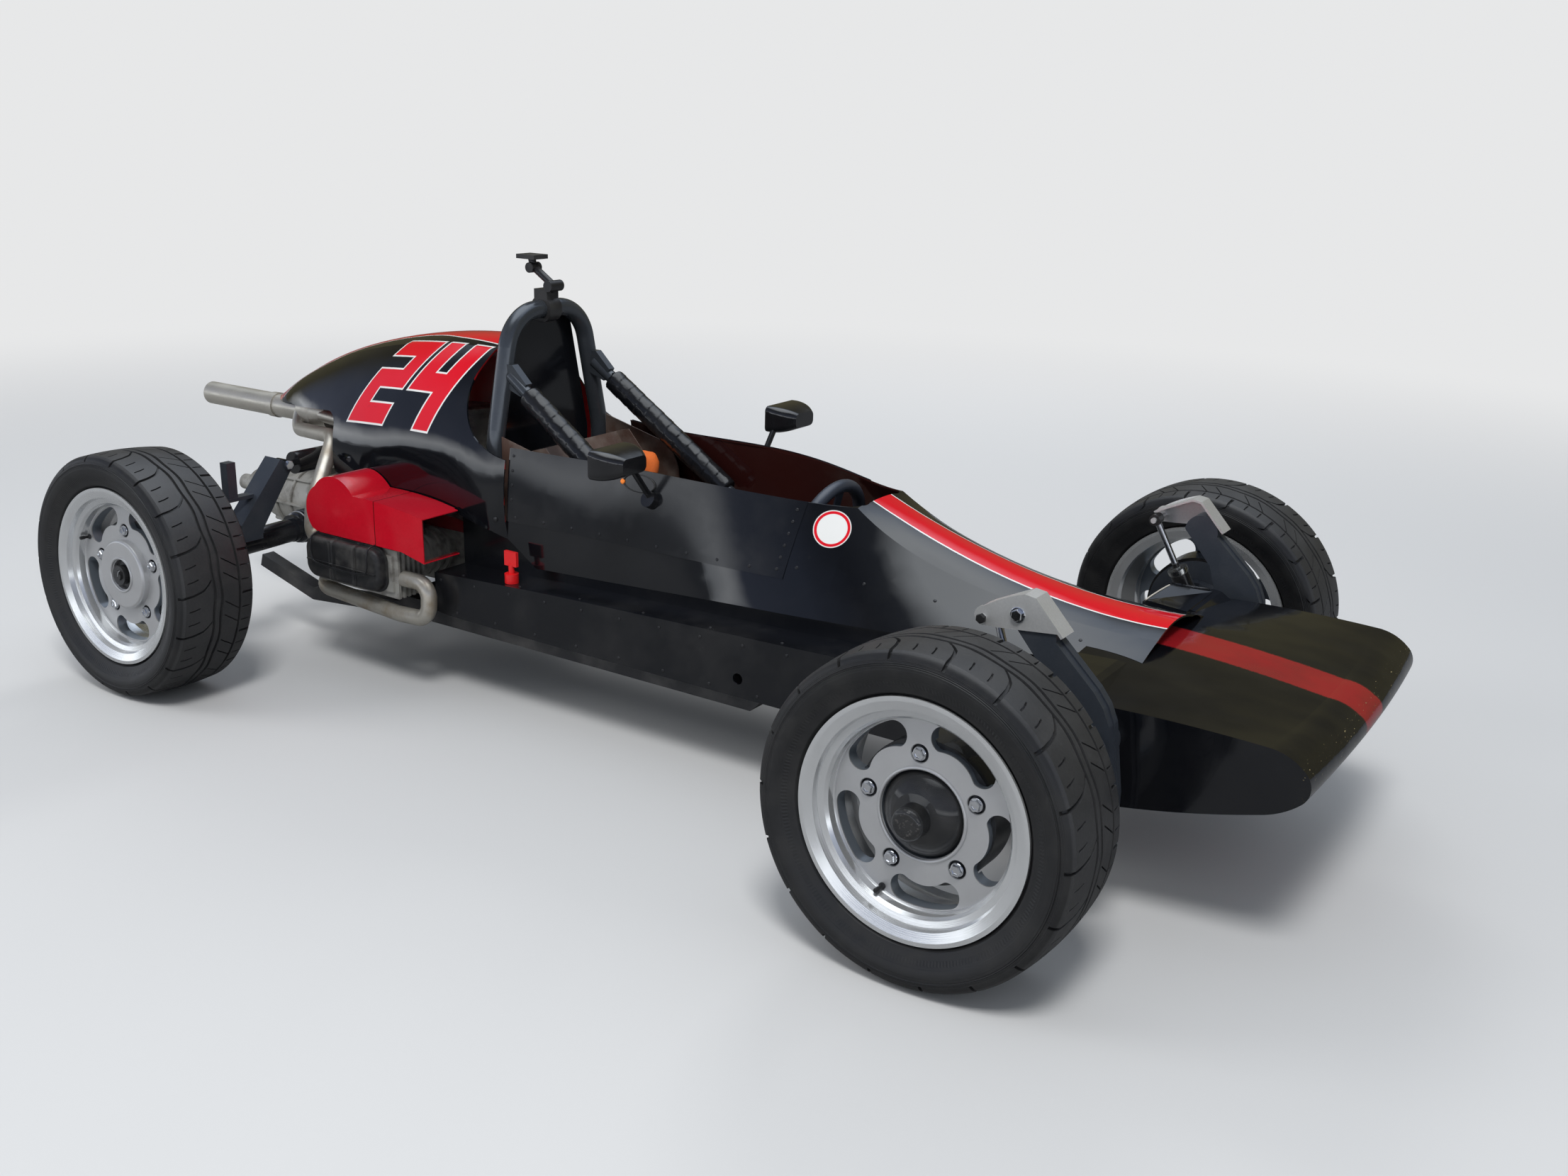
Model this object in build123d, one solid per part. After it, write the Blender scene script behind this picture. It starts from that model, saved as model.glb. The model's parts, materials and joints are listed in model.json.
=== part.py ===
from build123d import *
import math
import os

os.makedirs("parts", exist_ok=True)

# Overall size, in millimetres
wheelbase = 2108
front_track = 1330
rear_track = 1330
nose_overhang = 528
tail_overhang = 607

# Wheels and tyres
tyre_radius = 288
crown_radius = 700
tread_half = 86
bulge_half = 101
camber = 2.5
lug_circle = 102.5
lug_head_radius = 11
slot_middle_radius = 137
slot_width = 46
slot_bow = 7
bow_radius = 60
drum_radius = 124
drum_wall = 8
spindle_radius = 15
kingpin_inset = 80
kingpin_radius = 9
steering_arm_length = 120

# Body and frame
tub_half = 300
frame_half = 205
sheet = 3
shell = 4
panel_sheet = 1.6
beam_tube_radius = 31.75
beam_half = 440
nose_half = 370
hoop_radius = 21
exhaust_radius = 19
tailpipe_radius = 31.5
steering_wheel_radius = 140
rod_radius = 8

# Clearances
moving_gap = 5
seat_gap = 0.3
panel_gap = 0.4
pin_clearance = 0.07
spindle_clearance = 0.05

# Heights below are written for a wheel centre this far above the ground
hub_height = 288.4
wheel_height = crown_radius - (crown_radius - tyre_radius) * math.cos(math.radians(camber))
lift = wheel_height - hub_height
front_axle_x = (wheelbase + tail_overhang - nose_overhang) / 2


# Stations are distances ahead of the front axle; the cockpit bay takes up a change of wheelbase
def st(x):
    share = min(max((x + 573) / (573 - 1347), 0), 1)
    return x - share * (wheelbase - 2108)


def save(shape, node):
    export_step(shape.moved(Location((front_axle_x, 0, lift))), "parts/" + node + ".step")
    print(node)


# A closed face in the XY plane; a step is a point, or a middle point and an end point for an arc
def outline(start, *steps):
    edges = []
    here = start
    for step in steps:
        if isinstance(step[0], tuple):
            edges.append(ThreePointArc(here, step[0], step[1]))
            here = step[1]
        else:
            edges.append(Line(here, step))
            here = step
    if here != start:
        edges.append(Line(here, start))
    return make_face(edges)


def map_side(step):
    if isinstance(step[0], tuple):
        return (map_side(step[0]), map_side(step[1]))
    return (st(step[0]), step[1])


# A side-view outline of stations and heights, filled from one width to another
def side_solid(y0, y1, start, *steps):
    face = outline(map_side(start), *[map_side(step) for step in steps])
    return extrude(Pos(0, y0, 0) * (Plane.XZ * face), amount=y1 - y0, dir=(0, 1, 0))


# A front-view outline of widths and heights, filled from one station to another
def front_solid(x0, x1, start, *steps):
    face = outline(start, *steps)
    return extrude(Pos(st(x0), 0, 0) * (Plane.YZ * face), amount=st(x1) - st(x0), dir=(1, 0, 0))


# A plan outline of stations and widths, filled from one height to another
def plan_solid(z0, z1, start, *steps):
    face = outline(map_side(start), *[map_side(step) for step in steps])
    return extrude(Pos(0, 0, z0) * face, amount=z1 - z0, dir=(0, 0, 1))


def block(x0, x1, y0, y1, z0, z1):
    size = (st(x1) - st(x0), y1 - y0, z1 - z0)
    return Pos((st(x0) + st(x1)) / 2, (y0 + y1) / 2, (z0 + z1) / 2) * Box(*size)


def rod(start, end, radius):
    a = Vector(st(start[0]), start[1], start[2])
    b = Vector(st(end[0]), end[1], end[2])
    return extrude(Plane(origin=a, z_dir=b - a) * Circle(radius), amount=(b - a).length)


def tube(points, bends, radius, bore=0):
    path = FilletPolyline(*[(st(x), y, z) for x, y, z in points], radius=bends)
    section = Circle(radius)
    if bore:
        section = section - Circle(bore)
    return sweep(Plane(origin=path @ 0, z_dir=path % 0) * section, path=path)


def mirrored(shape):
    return mirror(shape, about=Plane.XZ)


def group(*shapes):
    solids = []
    for shape in shapes:
        solids.extend(shape.solids())
    return Compound(children=solids)


def pair(shape):
    return group(shape, mirrored(shape))


# Tyre section as radius and width, outside then inside
def tyre():
    grow = tyre_radius - 288
    tread = tread_half
    bulge = bulge_half
    face = outline(
        (190.5, 74),
        (208.5, 75.8),
        ((232 + grow / 2, bulge - 4.5), (252 + grow, bulge)),
        ((272 + grow, bulge - 4.5), (282.7 + grow, tread)),
        ((tyre_radius, 0), (282.7 + grow, -tread)),
        ((272 + grow, 4.5 - bulge), (252 + grow, -bulge)),
        ((232 + grow / 2, 4.5 - bulge), (208.5, -75.8)),
        (190.5, -74),
        (190.5, -58),
        (205, -62),
        ((232 + grow / 2, -86), (252 + grow, 10 - bulge)),
        ((266 + grow, -87), (272 + grow, -78)),
        ((276 + grow, 0), (272 + grow, 78)),
        ((266 + grow, 87), (252 + grow, bulge - 10)),
        ((232 + grow / 2, 86), (205, 62)),
        (190.5, 58),
    )
    return revolve(face, Axis.Y)


# Kidney slot of a wheel: an arc-shaped slot whose inner edge bows outward between two rounded ends
def kidney():
    slot = SlotArc(CenterArc((0, 0), slot_middle_radius, -17, 34), slot_width)
    inner_radius = slot_middle_radius - slot_width / 2
    bow = Pos(inner_radius + slot_bow - bow_radius, 0) * Circle(bow_radius)
    bean = slot - bow
    corners = [v for v in bean.vertices() if math.hypot(v.X, v.Y) < inner_radius + 3]
    return fillet(corners, 12)


# Cast wheel: barrel, disc, kidney slots, lug seats and, at the rear, a raised centre
def wheel(first_lug, centre_radius):
    face = outline(
        (207.5, 84),
        (207.5, 79),
        (201, 76.2),
        (189.8, 75),
        (189.8, 57),
        (170, 40),
        (170, -10),
        (189.8, -57),
        (189.8, -75),
        (201, -76.2),
        (207.5, -79),
        (207.5, -84),
        (200, -84),
        (183, -78),
        (182, -54),
        (164, -12),
        (164, 15),
        (drum_radius + 2.5, 15),
        (drum_radius + 2.5, 26.2),
        (centre_radius, 26.2),
        (centre_radius, 38),
        (centre_radius + 2, 40),
        (161, 40),
        (164, 44),
        (165, 58),
        (170, 64),
        (180.5, 67),
        (184, 78),
        (200, 84),
    )
    body = revolve(face, Axis.Y)
    if centre_radius < 70:
        boss = outline((centre_radius, 39), (82, 39), (82, 50), ((80, 55), (75, 57)), (centre_radius + 3, 57),
                       (centre_radius, 54))
        body += revolve(boss, Axis.Y)
    slot = kidney()
    for number in range(5):
        angle = first_lug + 72 * number
        body -= extrude(Plane.XZ * (Rot(0, 0, angle + 36) * slot), amount=60, both=True)
        x = lug_circle * math.cos(math.radians(angle))
        z = lug_circle * math.sin(math.radians(angle))
        seat = Pos(x, 0, z) * revolve(outline((0, 34), (13, 34), (17, 41), (0, 41)), Axis.Y)
        body -= seat
        body += Pos(x, 0, z) * revolve(outline((0, 33.5), (lug_head_radius, 33.5), (lug_head_radius, 42),
                                               (0, 42)),
                                       Axis.Y)
    return body


# Brake drum with its hub; the nose of the hub differs front to rear
def drum(nose):
    face = outline(
        (0, 60),
        (spindle_radius + spindle_clearance, 60),
        (spindle_radius + spindle_clearance, -30),
        (34, -30),
        (38, 12),
        (drum_radius - drum_wall, 14),
        (drum_radius - drum_wall, -38),
        (drum_radius, -38),
        (drum_radius, 26),
        *nose,
    )
    return revolve(face, Axis.Y)


front_nose = [(74, 26), (74, 32), ((62, 48), (42, 61)), (29, 64), (28, 86), ((25, 93), (18, 96)), (0, 96)]
rear_nose = [(33, 26), (33, 48), (23, 49), (23, 64), (12, 64), (12, 68), (0, 68)]


def corner(shape, x, track):
    return Pos(st(x), track / 2, hub_height) * Rot(camber, 0, 0) * shape


rear_x = -2108
for tag, x, track, lug, centre, nose in (
    ("front", 0, front_track, 97, 75, front_nose),
    ("rear", rear_x, rear_track, 92, 35, rear_nose),
):
    one_tyre = corner(tyre(), x, track)
    one_wheel = corner(wheel(lug, centre), x, track)
    one_drum = corner(drum(nose), x, track)
    for side, turn in (("left", lambda s: s), ("right", mirrored)):
        save(turn(one_tyre), "tyre_" + tag + "_" + side)
        save(turn(one_wheel), "wheel_" + tag + "_" + side)
        save(turn(one_drum), "drum_" + tag + "_" + side)

# Steering knuckle round an upright kingpin, with the spindle leaning by the camber
pin_y = -kingpin_inset
spindle = revolve(outline((0, -46), (30, -46), (30, -40), (spindle_radius, -34), (spindle_radius, 55),
                          (0, 55)),
                  Axis.Y)
plate = revolve(outline((0, -46), (118, -46), (118, -43), (0, -43)), Axis.Y)
knuckle = Rot(camber, 0, 0) * (spindle + plate)
knuckle += Pos(0, -48.5, 0) * Box(44, 13, 112)
for low, high in ((40, 56), (-56, -40)):
    eye = Pos(0, pin_y, low) * extrude(Circle(20), amount=high - low)
    eye += Pos(0, (pin_y - 46) / 2, (low + high) / 2) * Box(36, -pin_y - 46, high - low)
    knuckle += eye
arm = outline((0, pin_y - 12), (-steering_arm_length, pin_y - 12),
              ((-steering_arm_length - 12, pin_y), (-steering_arm_length, pin_y + 12)), (0, pin_y + 12))
knuckle += Pos(0, 0, -52) * extrude(arm, amount=12)
knuckle -= Pos(0, pin_y, 0) * Cylinder(kingpin_radius + pin_clearance, 200)
knuckle = Pos(0, front_track / 2, hub_height) * knuckle
save(knuckle, "knuckle_left")
save(mirrored(knuckle), "knuckle_right")

# Link carriers and trailing arms of the front beam
beam_x = 165
beam_heights = (355, 235)
carrier = Pos(0, pin_y, 0) * Cylinder(20, 76)
carrier += Pos(0, pin_y, 0) * Cylinder(kingpin_radius, 128)
carrier += Pos(0, (pin_y - 107) / 2, 0) * Box(16, 107 + pin_y, 70)
plate_outline = outline((-16, -78), (16, -78), (16, 90), (-16, 90))
carrier += Pos(0, -125, 0) * extrude(Plane.XZ * plate_outline, amount=18, dir=(0, 1, 0))
arms = Pos(0, front_track / 2, hub_height) * carrier
reach = front_track / 2 - 125
for height in beam_heights:
    plan = outline((beam_x + 36, beam_half + 0.3), (beam_x + 36, beam_half + 22),
                   (beam_x - 30, beam_half + 24),
                   (30, reach), (-25, reach), (-25, reach - 20), (28, reach - 21),
                   (beam_x - 42, beam_half + 3),
                   (beam_x - 30, beam_half + 0.3))
    bar = extrude(Pos(0, 0, height - 60) * plan, amount=120)
    side = outline((0, -25), (beam_x, -35), ((beam_x + 35, 0), (beam_x, 35)), (0, 25), ((-25, 0), (0, -25)))
    bar = bar & extrude(Pos(0, 400, height) * (Plane.XZ * side), amount=300, dir=(0, 1, 0))
    arms += bar
front_arms = pair(arms)
save(front_arms, "front_arms")

# Front beam: two tubes and the bridges between them
tubes = [rod((beam_x, -beam_half, z), (beam_x, beam_half, z), beam_tube_radius) for z in beam_heights]
beam = tubes[0] + tubes[1]
for y in (-150, 150):
    web = side_solid(y - 5, y + 5, (beam_x - 28, 250), (beam_x + 28, 250), (beam_x + 28, 368),
                     (beam_x - 28, 368))
    beam += web
save(beam, "front_beam")

# Shock towers: folded channels standing on the beam ends
tower_inner = beam_half - 44
tower_outer = beam_half - 4
tower_front = [(216, 205), (216, 275), (198, 400), (185, 430), (166, 455), (92, 526)]
tower_solid = side_solid(tower_inner, tower_outer, (106, 205), *tower_front, ((46, 566), (22, 534)),
                         (84, 461),
                         (100, 407), (106, 330))
tower_hollow = side_solid(tower_inner + sheet, tower_outer - sheet, (80, 190), (213, 190),
                          *[(x - sheet, z - 1) for x, z in tower_front[1:-1]], (90, 523),
                          ((46, 562), (8, 524)),
                          (70, 461), (85, 407), (80, 330))
tower = tower_solid - tower_hollow
tower_middle = (tower_inner + tower_outer) / 2
tower += side_solid(tower_middle - 2.5, tower_middle + 2.5, *[(x + sheet, z + 1) for x, z in tower_front],
                    *[(x - 2, z - 2) for x, z in reversed(tower_front)])
for height in beam_heights:
    tower -= rod((beam_x, tower_inner - 16, height), (beam_x, tower_outer + 14, height),
                 beam_tube_radius + seat_gap)
shock_towers = pair(tower)
save(shock_towers, "shock_towers")

# Bare brackets bolted to the towers, holding the shock absorbers' top eyes
bracket = side_solid(tower_outer + 0.2, tower_outer + 4.2, (-38, 531), (-15, 532), (100, 543), (52, 597),
                     (32, 600),
                     ((14, 594), (-42, 565)), ((-58, 549), (-38, 531)))
bracket += side_solid(tower_outer - 42, tower_outer + 4.2, (-50, 560), (-42, 565), (14, 592), (32, 600),
                      (52, 597),
                      (106, 538), (102, 535), (50, 592.5), (33, 595.5), (16, 588), (-40, 561.5), (-47, 557.5))
bracket += side_solid(tower_outer + 4.2, tower_outer + 10, (14, 562), ((22, 570), (30, 562)),
                      ((22, 554), (14, 562)))
top_eye_y = beam_half - 48
bolt = rod((-41, top_eye_y - 20, 545), (-41, tower_outer + 12, 545), 6)
bracket += bolt
bracket -= Pos(seat_gap, 0, seat_gap) * tower_solid
bracket = max(bracket.solids(), key=lambda s: s.volume)
save(pair(bracket), "tower_brackets")

# Front shock absorbers, leaning out to the lower arms
shock_top = (-41, top_eye_y, 545)
foot_y = beam_half + 12
shock_foot = (86, foot_y, 268)


def between(a, b, share):
    return tuple(p + (q - p) * share for p, q in zip(a, b))


shock = rod(between(shock_top, shock_foot, 0.03), between(shock_top, shock_foot, 0.42), 7)
shock += rod(between(shock_top, shock_foot, 0.40), between(shock_top, shock_foot, 0.93), 20)
shock += rod((-41, top_eye_y - 14, 545), (-41, top_eye_y + 14, 545), 12)
shock += rod((86, foot_y - 12, 268), (86, foot_y + 12, 268), 16)
shock += rod(between(shock_top, shock_foot, 0.385), between(shock_top, shock_foot, 0.415), 22)
shock += rod(between(shock_top, shock_foot, 0.9), shock_foot, 9)
shock -= rod((-41, top_eye_y - 30, 545), (-41, top_eye_y + 60, 545), 6.3)
shock -= arms
save(pair(shock), "front_shocks")

# Steering: box and column on the car, wheel and sliding tie rods as moving pieces
wheel_hub = (-632, 0, 480)
column_foot = (98, 0, 298)
hub_point = Vector(st(wheel_hub[0]), 0, wheel_hub[2])
foot_point = Vector(st(column_foot[0]), 0, column_foot[2])
lean = (foot_point - hub_point).normalized()
length = (foot_point - hub_point).length
wheel_plane = Plane(origin=hub_point, x_dir=(0, 1, 0), z_dir=lean)
column = Plane(origin=hub_point + lean * 30, z_dir=lean) * extrude(Circle(15), amount=length - 40)
column -= Plane(origin=hub_point + lean * 20, z_dir=lean) * extrude(Circle(10 + pin_clearance), amount=100)
box = block(62, 132, -38, 38, 262, 334)
box = fillet(box.edges().filter_by(Axis.Y), 14)
column += box
save(column, "steering_column")

rim = Torus(steering_wheel_radius - 14, 14)
grip = rim + extrude(Circle(32), amount=10)
for angle in (90, 210, 330):
    spoke = Rot(0, 0, angle) * (Pos(66, 0, 4) * Box(112, 26, 4))
    grip += spoke
grip += extrude(Circle(10), amount=90)
save(wheel_plane * grip, "steering_wheel")

rod_y = front_track / 2 - kingpin_inset
rod_z = hub_height - 52 - seat_gap - 9.5
link = rod((-steering_arm_length, -rod_y, rod_z), (-steering_arm_length, rod_y, rod_z), rod_radius)
for side in (-1, 1):
    link += Pos(-steering_arm_length, side * rod_y, rod_z) * Cylinder(14, 19)
    sleeve_ends = [(-steering_arm_length, side * (rod_y - back), rod_z) for back in (60, 12)]
    link += rod(*sleeve_ends, rod_radius + 1)
save(link, "steering_link")

# Nose cone: nearly flat top, rounded tip, open at the back
# columns: side x and z, middle x and z, direction of the inner face; from the back of the top round the tip
nose_back = 36
nose_table = [
    (36, 402, 36, 432, 0, -1),
    (245, 411, 245, 422, 0, -1),
    (440, 406.5, 455, 396, 0, -1),
    (474, 399, 486, 391.5, -0.4, -0.9),
    (501, 381, 511, 378, -0.7, -0.7),
    (515.5, 354, 528, 356, -1, 0),
    (505, 324, 517, 330, -0.8, 0.6),
    (478, 303, 488, 306, -0.5, 0.9),
    (440, 287, 445, 289, 0, 1),
    (240, 239, 240, 239, 0, 1),
    (36, 215, 36, 215, 0, 1),
]


def nose_section(y, crown, inset):
    reach = (nose_overhang - nose_back) / (528 - nose_back)
    points = []
    for side_x, side_z, middle_x, middle_z, inward_x, inward_z in nose_table:
        x = side_x * (1 - crown) + middle_x * crown
        z = side_z * (1 - crown) + middle_z * crown
        if x > nose_back:
            x = nose_back + (x - nose_back) * reach
        elif inset:
            x -= 20
        points.append((x + inward_x * inset, z + inward_z * inset))
    back_top, top, brow, brow_bend, front, tip, chin, heel_bend, heel, belly_bend, back_low = points
    face = outline(back_low, back_top, (top, brow), (brow_bend, front), (tip, chin), (heel_bend, heel),
                   (belly_bend, back_low))
    return Pos(0, y, 0) * (Plane.XZ * face)


nose_outer = loft([nose_section(-nose_half, 0, 0), nose_section(0, 1, 0), nose_section(nose_half, 0, 0)])
nose_inner = loft([nose_section(-nose_half + shell, 0, shell), nose_section(0, 1, shell),
                   nose_section(nose_half - shell, 0, shell)])
cowl_box = side_solid(186, 352, (18, 380), (18, 424), (112, 427), (128, 425), (160, 404), (160, 380))
cowl_hollow = side_solid(189, 349, (10, 370), (10, 421), (112, 424), (126, 422), (154, 403), (154, 370))
nose = nose_outer - nose_inner
fairing = cowl_box - cowl_hollow - nose_outer
nose = nose + fairing + mirrored(fairing)
for height in beam_heights:
    nose -= rod((beam_x, -500, height), (beam_x, 500, height), beam_tube_radius + seat_gap)
save(nose, "nose")

# Body shell: cowl and cockpit sides
# columns: station, shoulder width and height, ridge height, waist width and height, lip width and height
body_table = [
    (152, 95, 447, 463, 138, 435, 182, 420),
    (-21, 98, 451, 468, 146, 431, 194, 406),
    (-205, 98, 476, 501, 153, 440, 208, 397),
    (-389, 100, 531, 556, 158, 467, 220, 388),
    (-500, 94, 591, 598, 162, 493, 226, 384),
]
cockpit_table = [
    body_table[-1],
    (-600, 126, 593, 604, 167, 517, 229, 380),
    (-740, 169, 604, 612, 191, 520, 226, 373),
    (-900, 190, 612, 620, 204, 520, 223, 364),
    (-1130, 192, 612, 622, 212, 500, 224, 353),
    (-1347, 216, 616, 630, 229, 520, 228, 343),
]


def body_section(row, inset, extra=0):
    x, shoulder_y, shoulder_z, ridge, waist_y, waist_z, lip_y, lip_z = row
    sy = shoulder_y - inset * 0.6
    sz = shoulder_z - inset * 0.8
    wy = waist_y - inset
    ly = lip_y - inset
    lz = lip_z - (20 if inset else 0)
    face = outline(
        (-ly, lz),
        ((-wy, waist_z), (-sy, sz)),
        ((0, ridge - inset), (sy, sz)),
        ((wy, waist_z), (ly, lz)),
    )
    return Pos(st(x) + extra, 0, 0) * (Plane.YZ * face)


def body_loft(inset, extra):
    cowl = loft([body_section(row, inset, extra if row is body_table[0] else 0) for row in body_table])
    sides = loft([body_section(row, inset, -extra if row is cockpit_table[-1] else 0)
                  for row in cockpit_table])
    return cowl + sides


cockpit_edge = [(-497, 50), ((-501, 80), (-516, 94)), ((-600, 124), (-700, 155)), ((-780, 175), (-900, 188)),
                ((-1130, 190), (-1360, 216))]
far_edge = [(-1360, 214), ((-1130, 190), (-900, 188)), ((-780, 175), (-700, 155)), ((-600, 124), (-516, 94)),
            ((-501, 80), (-497, 50))]


def other_side(step):
    if isinstance(step[0], tuple):
        return (other_side(step[0]), other_side(step[1]))
    return (step[0], -step[1])


cockpit_cut = plan_solid(430, 700, *[other_side(step) for step in cockpit_edge], *far_edge)
rear_corner_cut = side_solid(-400, 400, (-1360, 330), (-1360, 411), (-1347, 405), (-1264, 345), (-1264, 300))
outer_body = body_loft(0, 0)
body_shell = outer_body - body_loft(shell, 2)
body_shell -= cockpit_cut
body_shell -= rear_corner_cut
body_shell -= Pos(0, 0, 0.4) * nose_outer
for side in (-1, 1):
    body_shell -= Pos(0, 0, 0.3) * (cowl_box if side > 0 else mirrored(cowl_box))
body_shell = max(body_shell.solids(), key=lambda s: s.volume)
save(body_shell, "body_shell")

# Thin metal panels over the cockpit sides, from the rivet line up to the rim
def strip_section(row):
    x, shoulder_y, shoulder_z, ridge, waist_y, waist_z, lip_y, lip_z = row
    out = panel_gap + panel_sheet
    face = outline(
        (lip_y + out, lip_z),
        ((waist_y + out, waist_z), (shoulder_y + out * 0.6, shoulder_z + out * 0.8)),
        (shoulder_y + panel_gap * 0.6, shoulder_z + panel_gap * 0.8),
        ((waist_y + panel_gap, waist_z), (lip_y + panel_gap, lip_z)),
    )
    return Pos(st(x), 0, 0) * (Plane.YZ * face)


strip = loft([strip_section(row) for row in cockpit_table])
window = side_solid(100, 400, (-608, 445), (-597, 640), (-1344, 640), (-1344, 448))
panel = (strip & window) - cockpit_cut
panel = max(panel.solids(), key=lambda s: s.volume)
side_panels = pair(panel)
save(side_panels, "side_panels")

# Lower tub: outer side boxes with flat ledges, floor and inner walls
ledge_line = [(-1520, 309), (-1154, 325), (-729, 337), (-501, 343), (30, 361)]
tub_outline = [(-1520, 214), (-1480, 210), (-1157, 206), (30, 206)]
tub = side_solid(-tub_half, tub_half, *tub_outline, *reversed(ledge_line))
hollow_outline = [(-1517, 217), (-1480, 213), (-1157, 209), (27, 209), (27, 358), (-501, 340), (-729, 334),
                  (-1154, 322), (-1517, 306)]
tub -= side_solid(-tub_half + sheet, tub_half - sheet, *hollow_outline)
tub -= plan_solid(250, 420, (-1517, -frame_half), (27, -frame_half), (27, frame_half), (-1517, frame_half))
wall = side_solid(frame_half - sheet, frame_half, (-1517, 300), (-1517, 436), (-1300, 436), (-1240, 356),
                  (-715, 380), (-373, 388), (27, 392), (27, 350), (-501, 338), (-1154, 318))
tub = tub + wall + mirrored(wall)
for side in (-1, 1):
    tub -= rod((-steering_arm_length, side * 150, rod_z), (-steering_arm_length, side * 350, rod_z),
               rod_radius + moving_gap)
tub -= rod((0, 0, column_foot[2] + 26), (60, 0, column_foot[2] + 8), 22)
tub -= rod((-648, -320, 246), (-648, -280, 246), 12)
save(tub, "frame_tub")

# Belly pan and the rails that run back under the engine
pan = side_solid(-250, 250, (-600, 205.7), (-650, 158), (-1690, 158), (-1712, 205.7))
pan -= side_solid(-247, 247, (-596, 212), (-652, 161), (-1688, 161), (-1710, 212))
belly = pan
for side in (-1, 1):
    y = side * 200
    rail = side_solid(y - 18, y + 18, (-1480, 161), (-1480, 205.7), (-1700, 175), (-2060, 144), (-2260, 198),
                      (-2270, 166), (-2066, 110), (-1700, 141))
    belly += rail
save(belly, "belly_frame")

# Engine cover: air box nose over the driver's head, running down to a pointed tail
# columns: station, shoulder width and height, ridge height, flank width and height, edge width and height
cover_table = [
    (-1347, 116, 806, 828, 228, 610, 224, 380),
    (-1500, 110, 812, 831, 230, 630, 230, 400),
    (-1700, 95, 806, 824, 228, 630, 230, 420),
    (-1940, 80, 764, 781, 197, 630, 220, 430),
    (-2150, 60, 698, 711, 136, 640, 158, 560),
    (-2310, 36, 622, 631, 74, 598, 92, 560),
    (-2380, 20, 588, 593, 36, 578, 44, 560),
]


def cover_section(row, inset, push):
    x, shoulder_y, shoulder_z, ridge, flank_y, flank_z, edge_y, edge_z = row
    sy = shoulder_y - inset * 0.6
    sz = shoulder_z - inset * 0.8
    fy = flank_y - inset
    ey = edge_y - inset
    ez = edge_z - (10 if inset > 0 else 0)
    face = outline(
        (-ey, ez),
        ((-fy, flank_z), (-sy, sz)),
        ((0, ridge - inset), (sy, sz)),
        ((fy, flank_z), (ey, ez)),
    )
    return Pos(st(x) + push, 0, 0) * (Plane.YZ * face)


def cover_loft(inset, push):
    sections = []
    for number, row in enumerate(cover_table):
        end_push = push if number == 0 else (2.0 * inset if number == len(cover_table) - 1 else 0)
        sections.append(cover_section(row, inset, end_push))
    return loft(sections)


cover_outer = cover_loft(0, 0)
cover_keep = side_solid(-400, 400, (-1347.5, 405), (-1347.5, 590), ((-1400, 603), (-1450, 630)),
                        ((-1490, 690), (-1500, 760)), (-1480, 840), (-1480, 900), (-2500, 900), (-2500, 585),
                        (-2316, 586), (-1990, 617), ((-1962, 609), (-1948, 585)), (-1940, 500),
                        ((-1926, 465), (-1890, 450)), (-1540, 450), (-1390, 420))
engine_cover = (cover_outer - cover_loft(shell, 3)) & cover_keep
engine_cover = max(engine_cover.solids(), key=lambda s: s.volume)
save(engine_cover, "engine_cover")

# Roll hoop with its forward braces
hoop_x = -1425
hoop = tube([(hoop_x, -174, 330), (hoop_x, -186, 600), (hoop_x, -118, 904), (hoop_x, 118, 904),
             (hoop_x, 186, 600), (hoop_x, 174, 330)], [300, 100, 100, 300], hoop_radius)
brace_top = (-1404, 146, 765)
brace_foot = (-1000, 166, 490)
brace = rod(brace_top, brace_foot, 15)
brace -= hoop
lug = side_solid(136, 156, (-1412, 738), (-1368, 722), (-1350, 752), (-1392, 792), (-1412, 792)) - hoop
roll_hoop = hoop + brace + mirrored(brace) + lug + mirrored(lug)
save(roll_hoop, "roll_hoop")

pad = rod(between(brace_top, brace_foot, 0.14), between(brace_top, brace_foot, 0.97), 27)
pad -= rod(brace_top, brace_foot, 15 + seat_gap)
pad -= lug
save(pair(pad), "brace_padding")

# Camera mount clamped on the top of the hoop
clamp_ring = rod((hoop_x, -20, 904), (hoop_x, 20, 904), 31)
clamp_ring += block(hoop_x - 20, hoop_x + 20, -20, 20, 925, 950)
clamp_ring -= rod((hoop_x, -30, 904), (hoop_x, 30, 904), hoop_radius + seat_gap)
mount = clamp_ring
mount += rod((hoop_x + 6, 0, 940), (hoop_x + 26, 0, 958), 9)
mount += rod((hoop_x + 24, -22, 958), (hoop_x + 24, 22, 958), 13)
mount += rod((hoop_x + 24, 0, 958), (hoop_x - 36, 0, 996), 9)
mount += rod((hoop_x - 38, -16, 996), (hoop_x - 38, 16, 996), 12)
mount += rod((hoop_x - 38, 0, 996), (hoop_x - 43, 0, 1018), 9)
mount += block(hoop_x - 70, hoop_x - 14, -24, 24, 1016, 1026)
save(mount, "camera_mount")

# Firewall of flat panels behind the driver's head
firewall = front_solid(hoop_x - 27, hoop_x - 25, (-160, 335), (-168, 600), (-110, 868), (-96, 880), (96, 880),
                       (110, 868), (168, 600), (160, 335))
firewall += front_solid(hoop_x - 25, hoop_x - 22, (-150, 548), (-150, 566), (150, 566), (150, 548))
save(firewall, "firewall")

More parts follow.
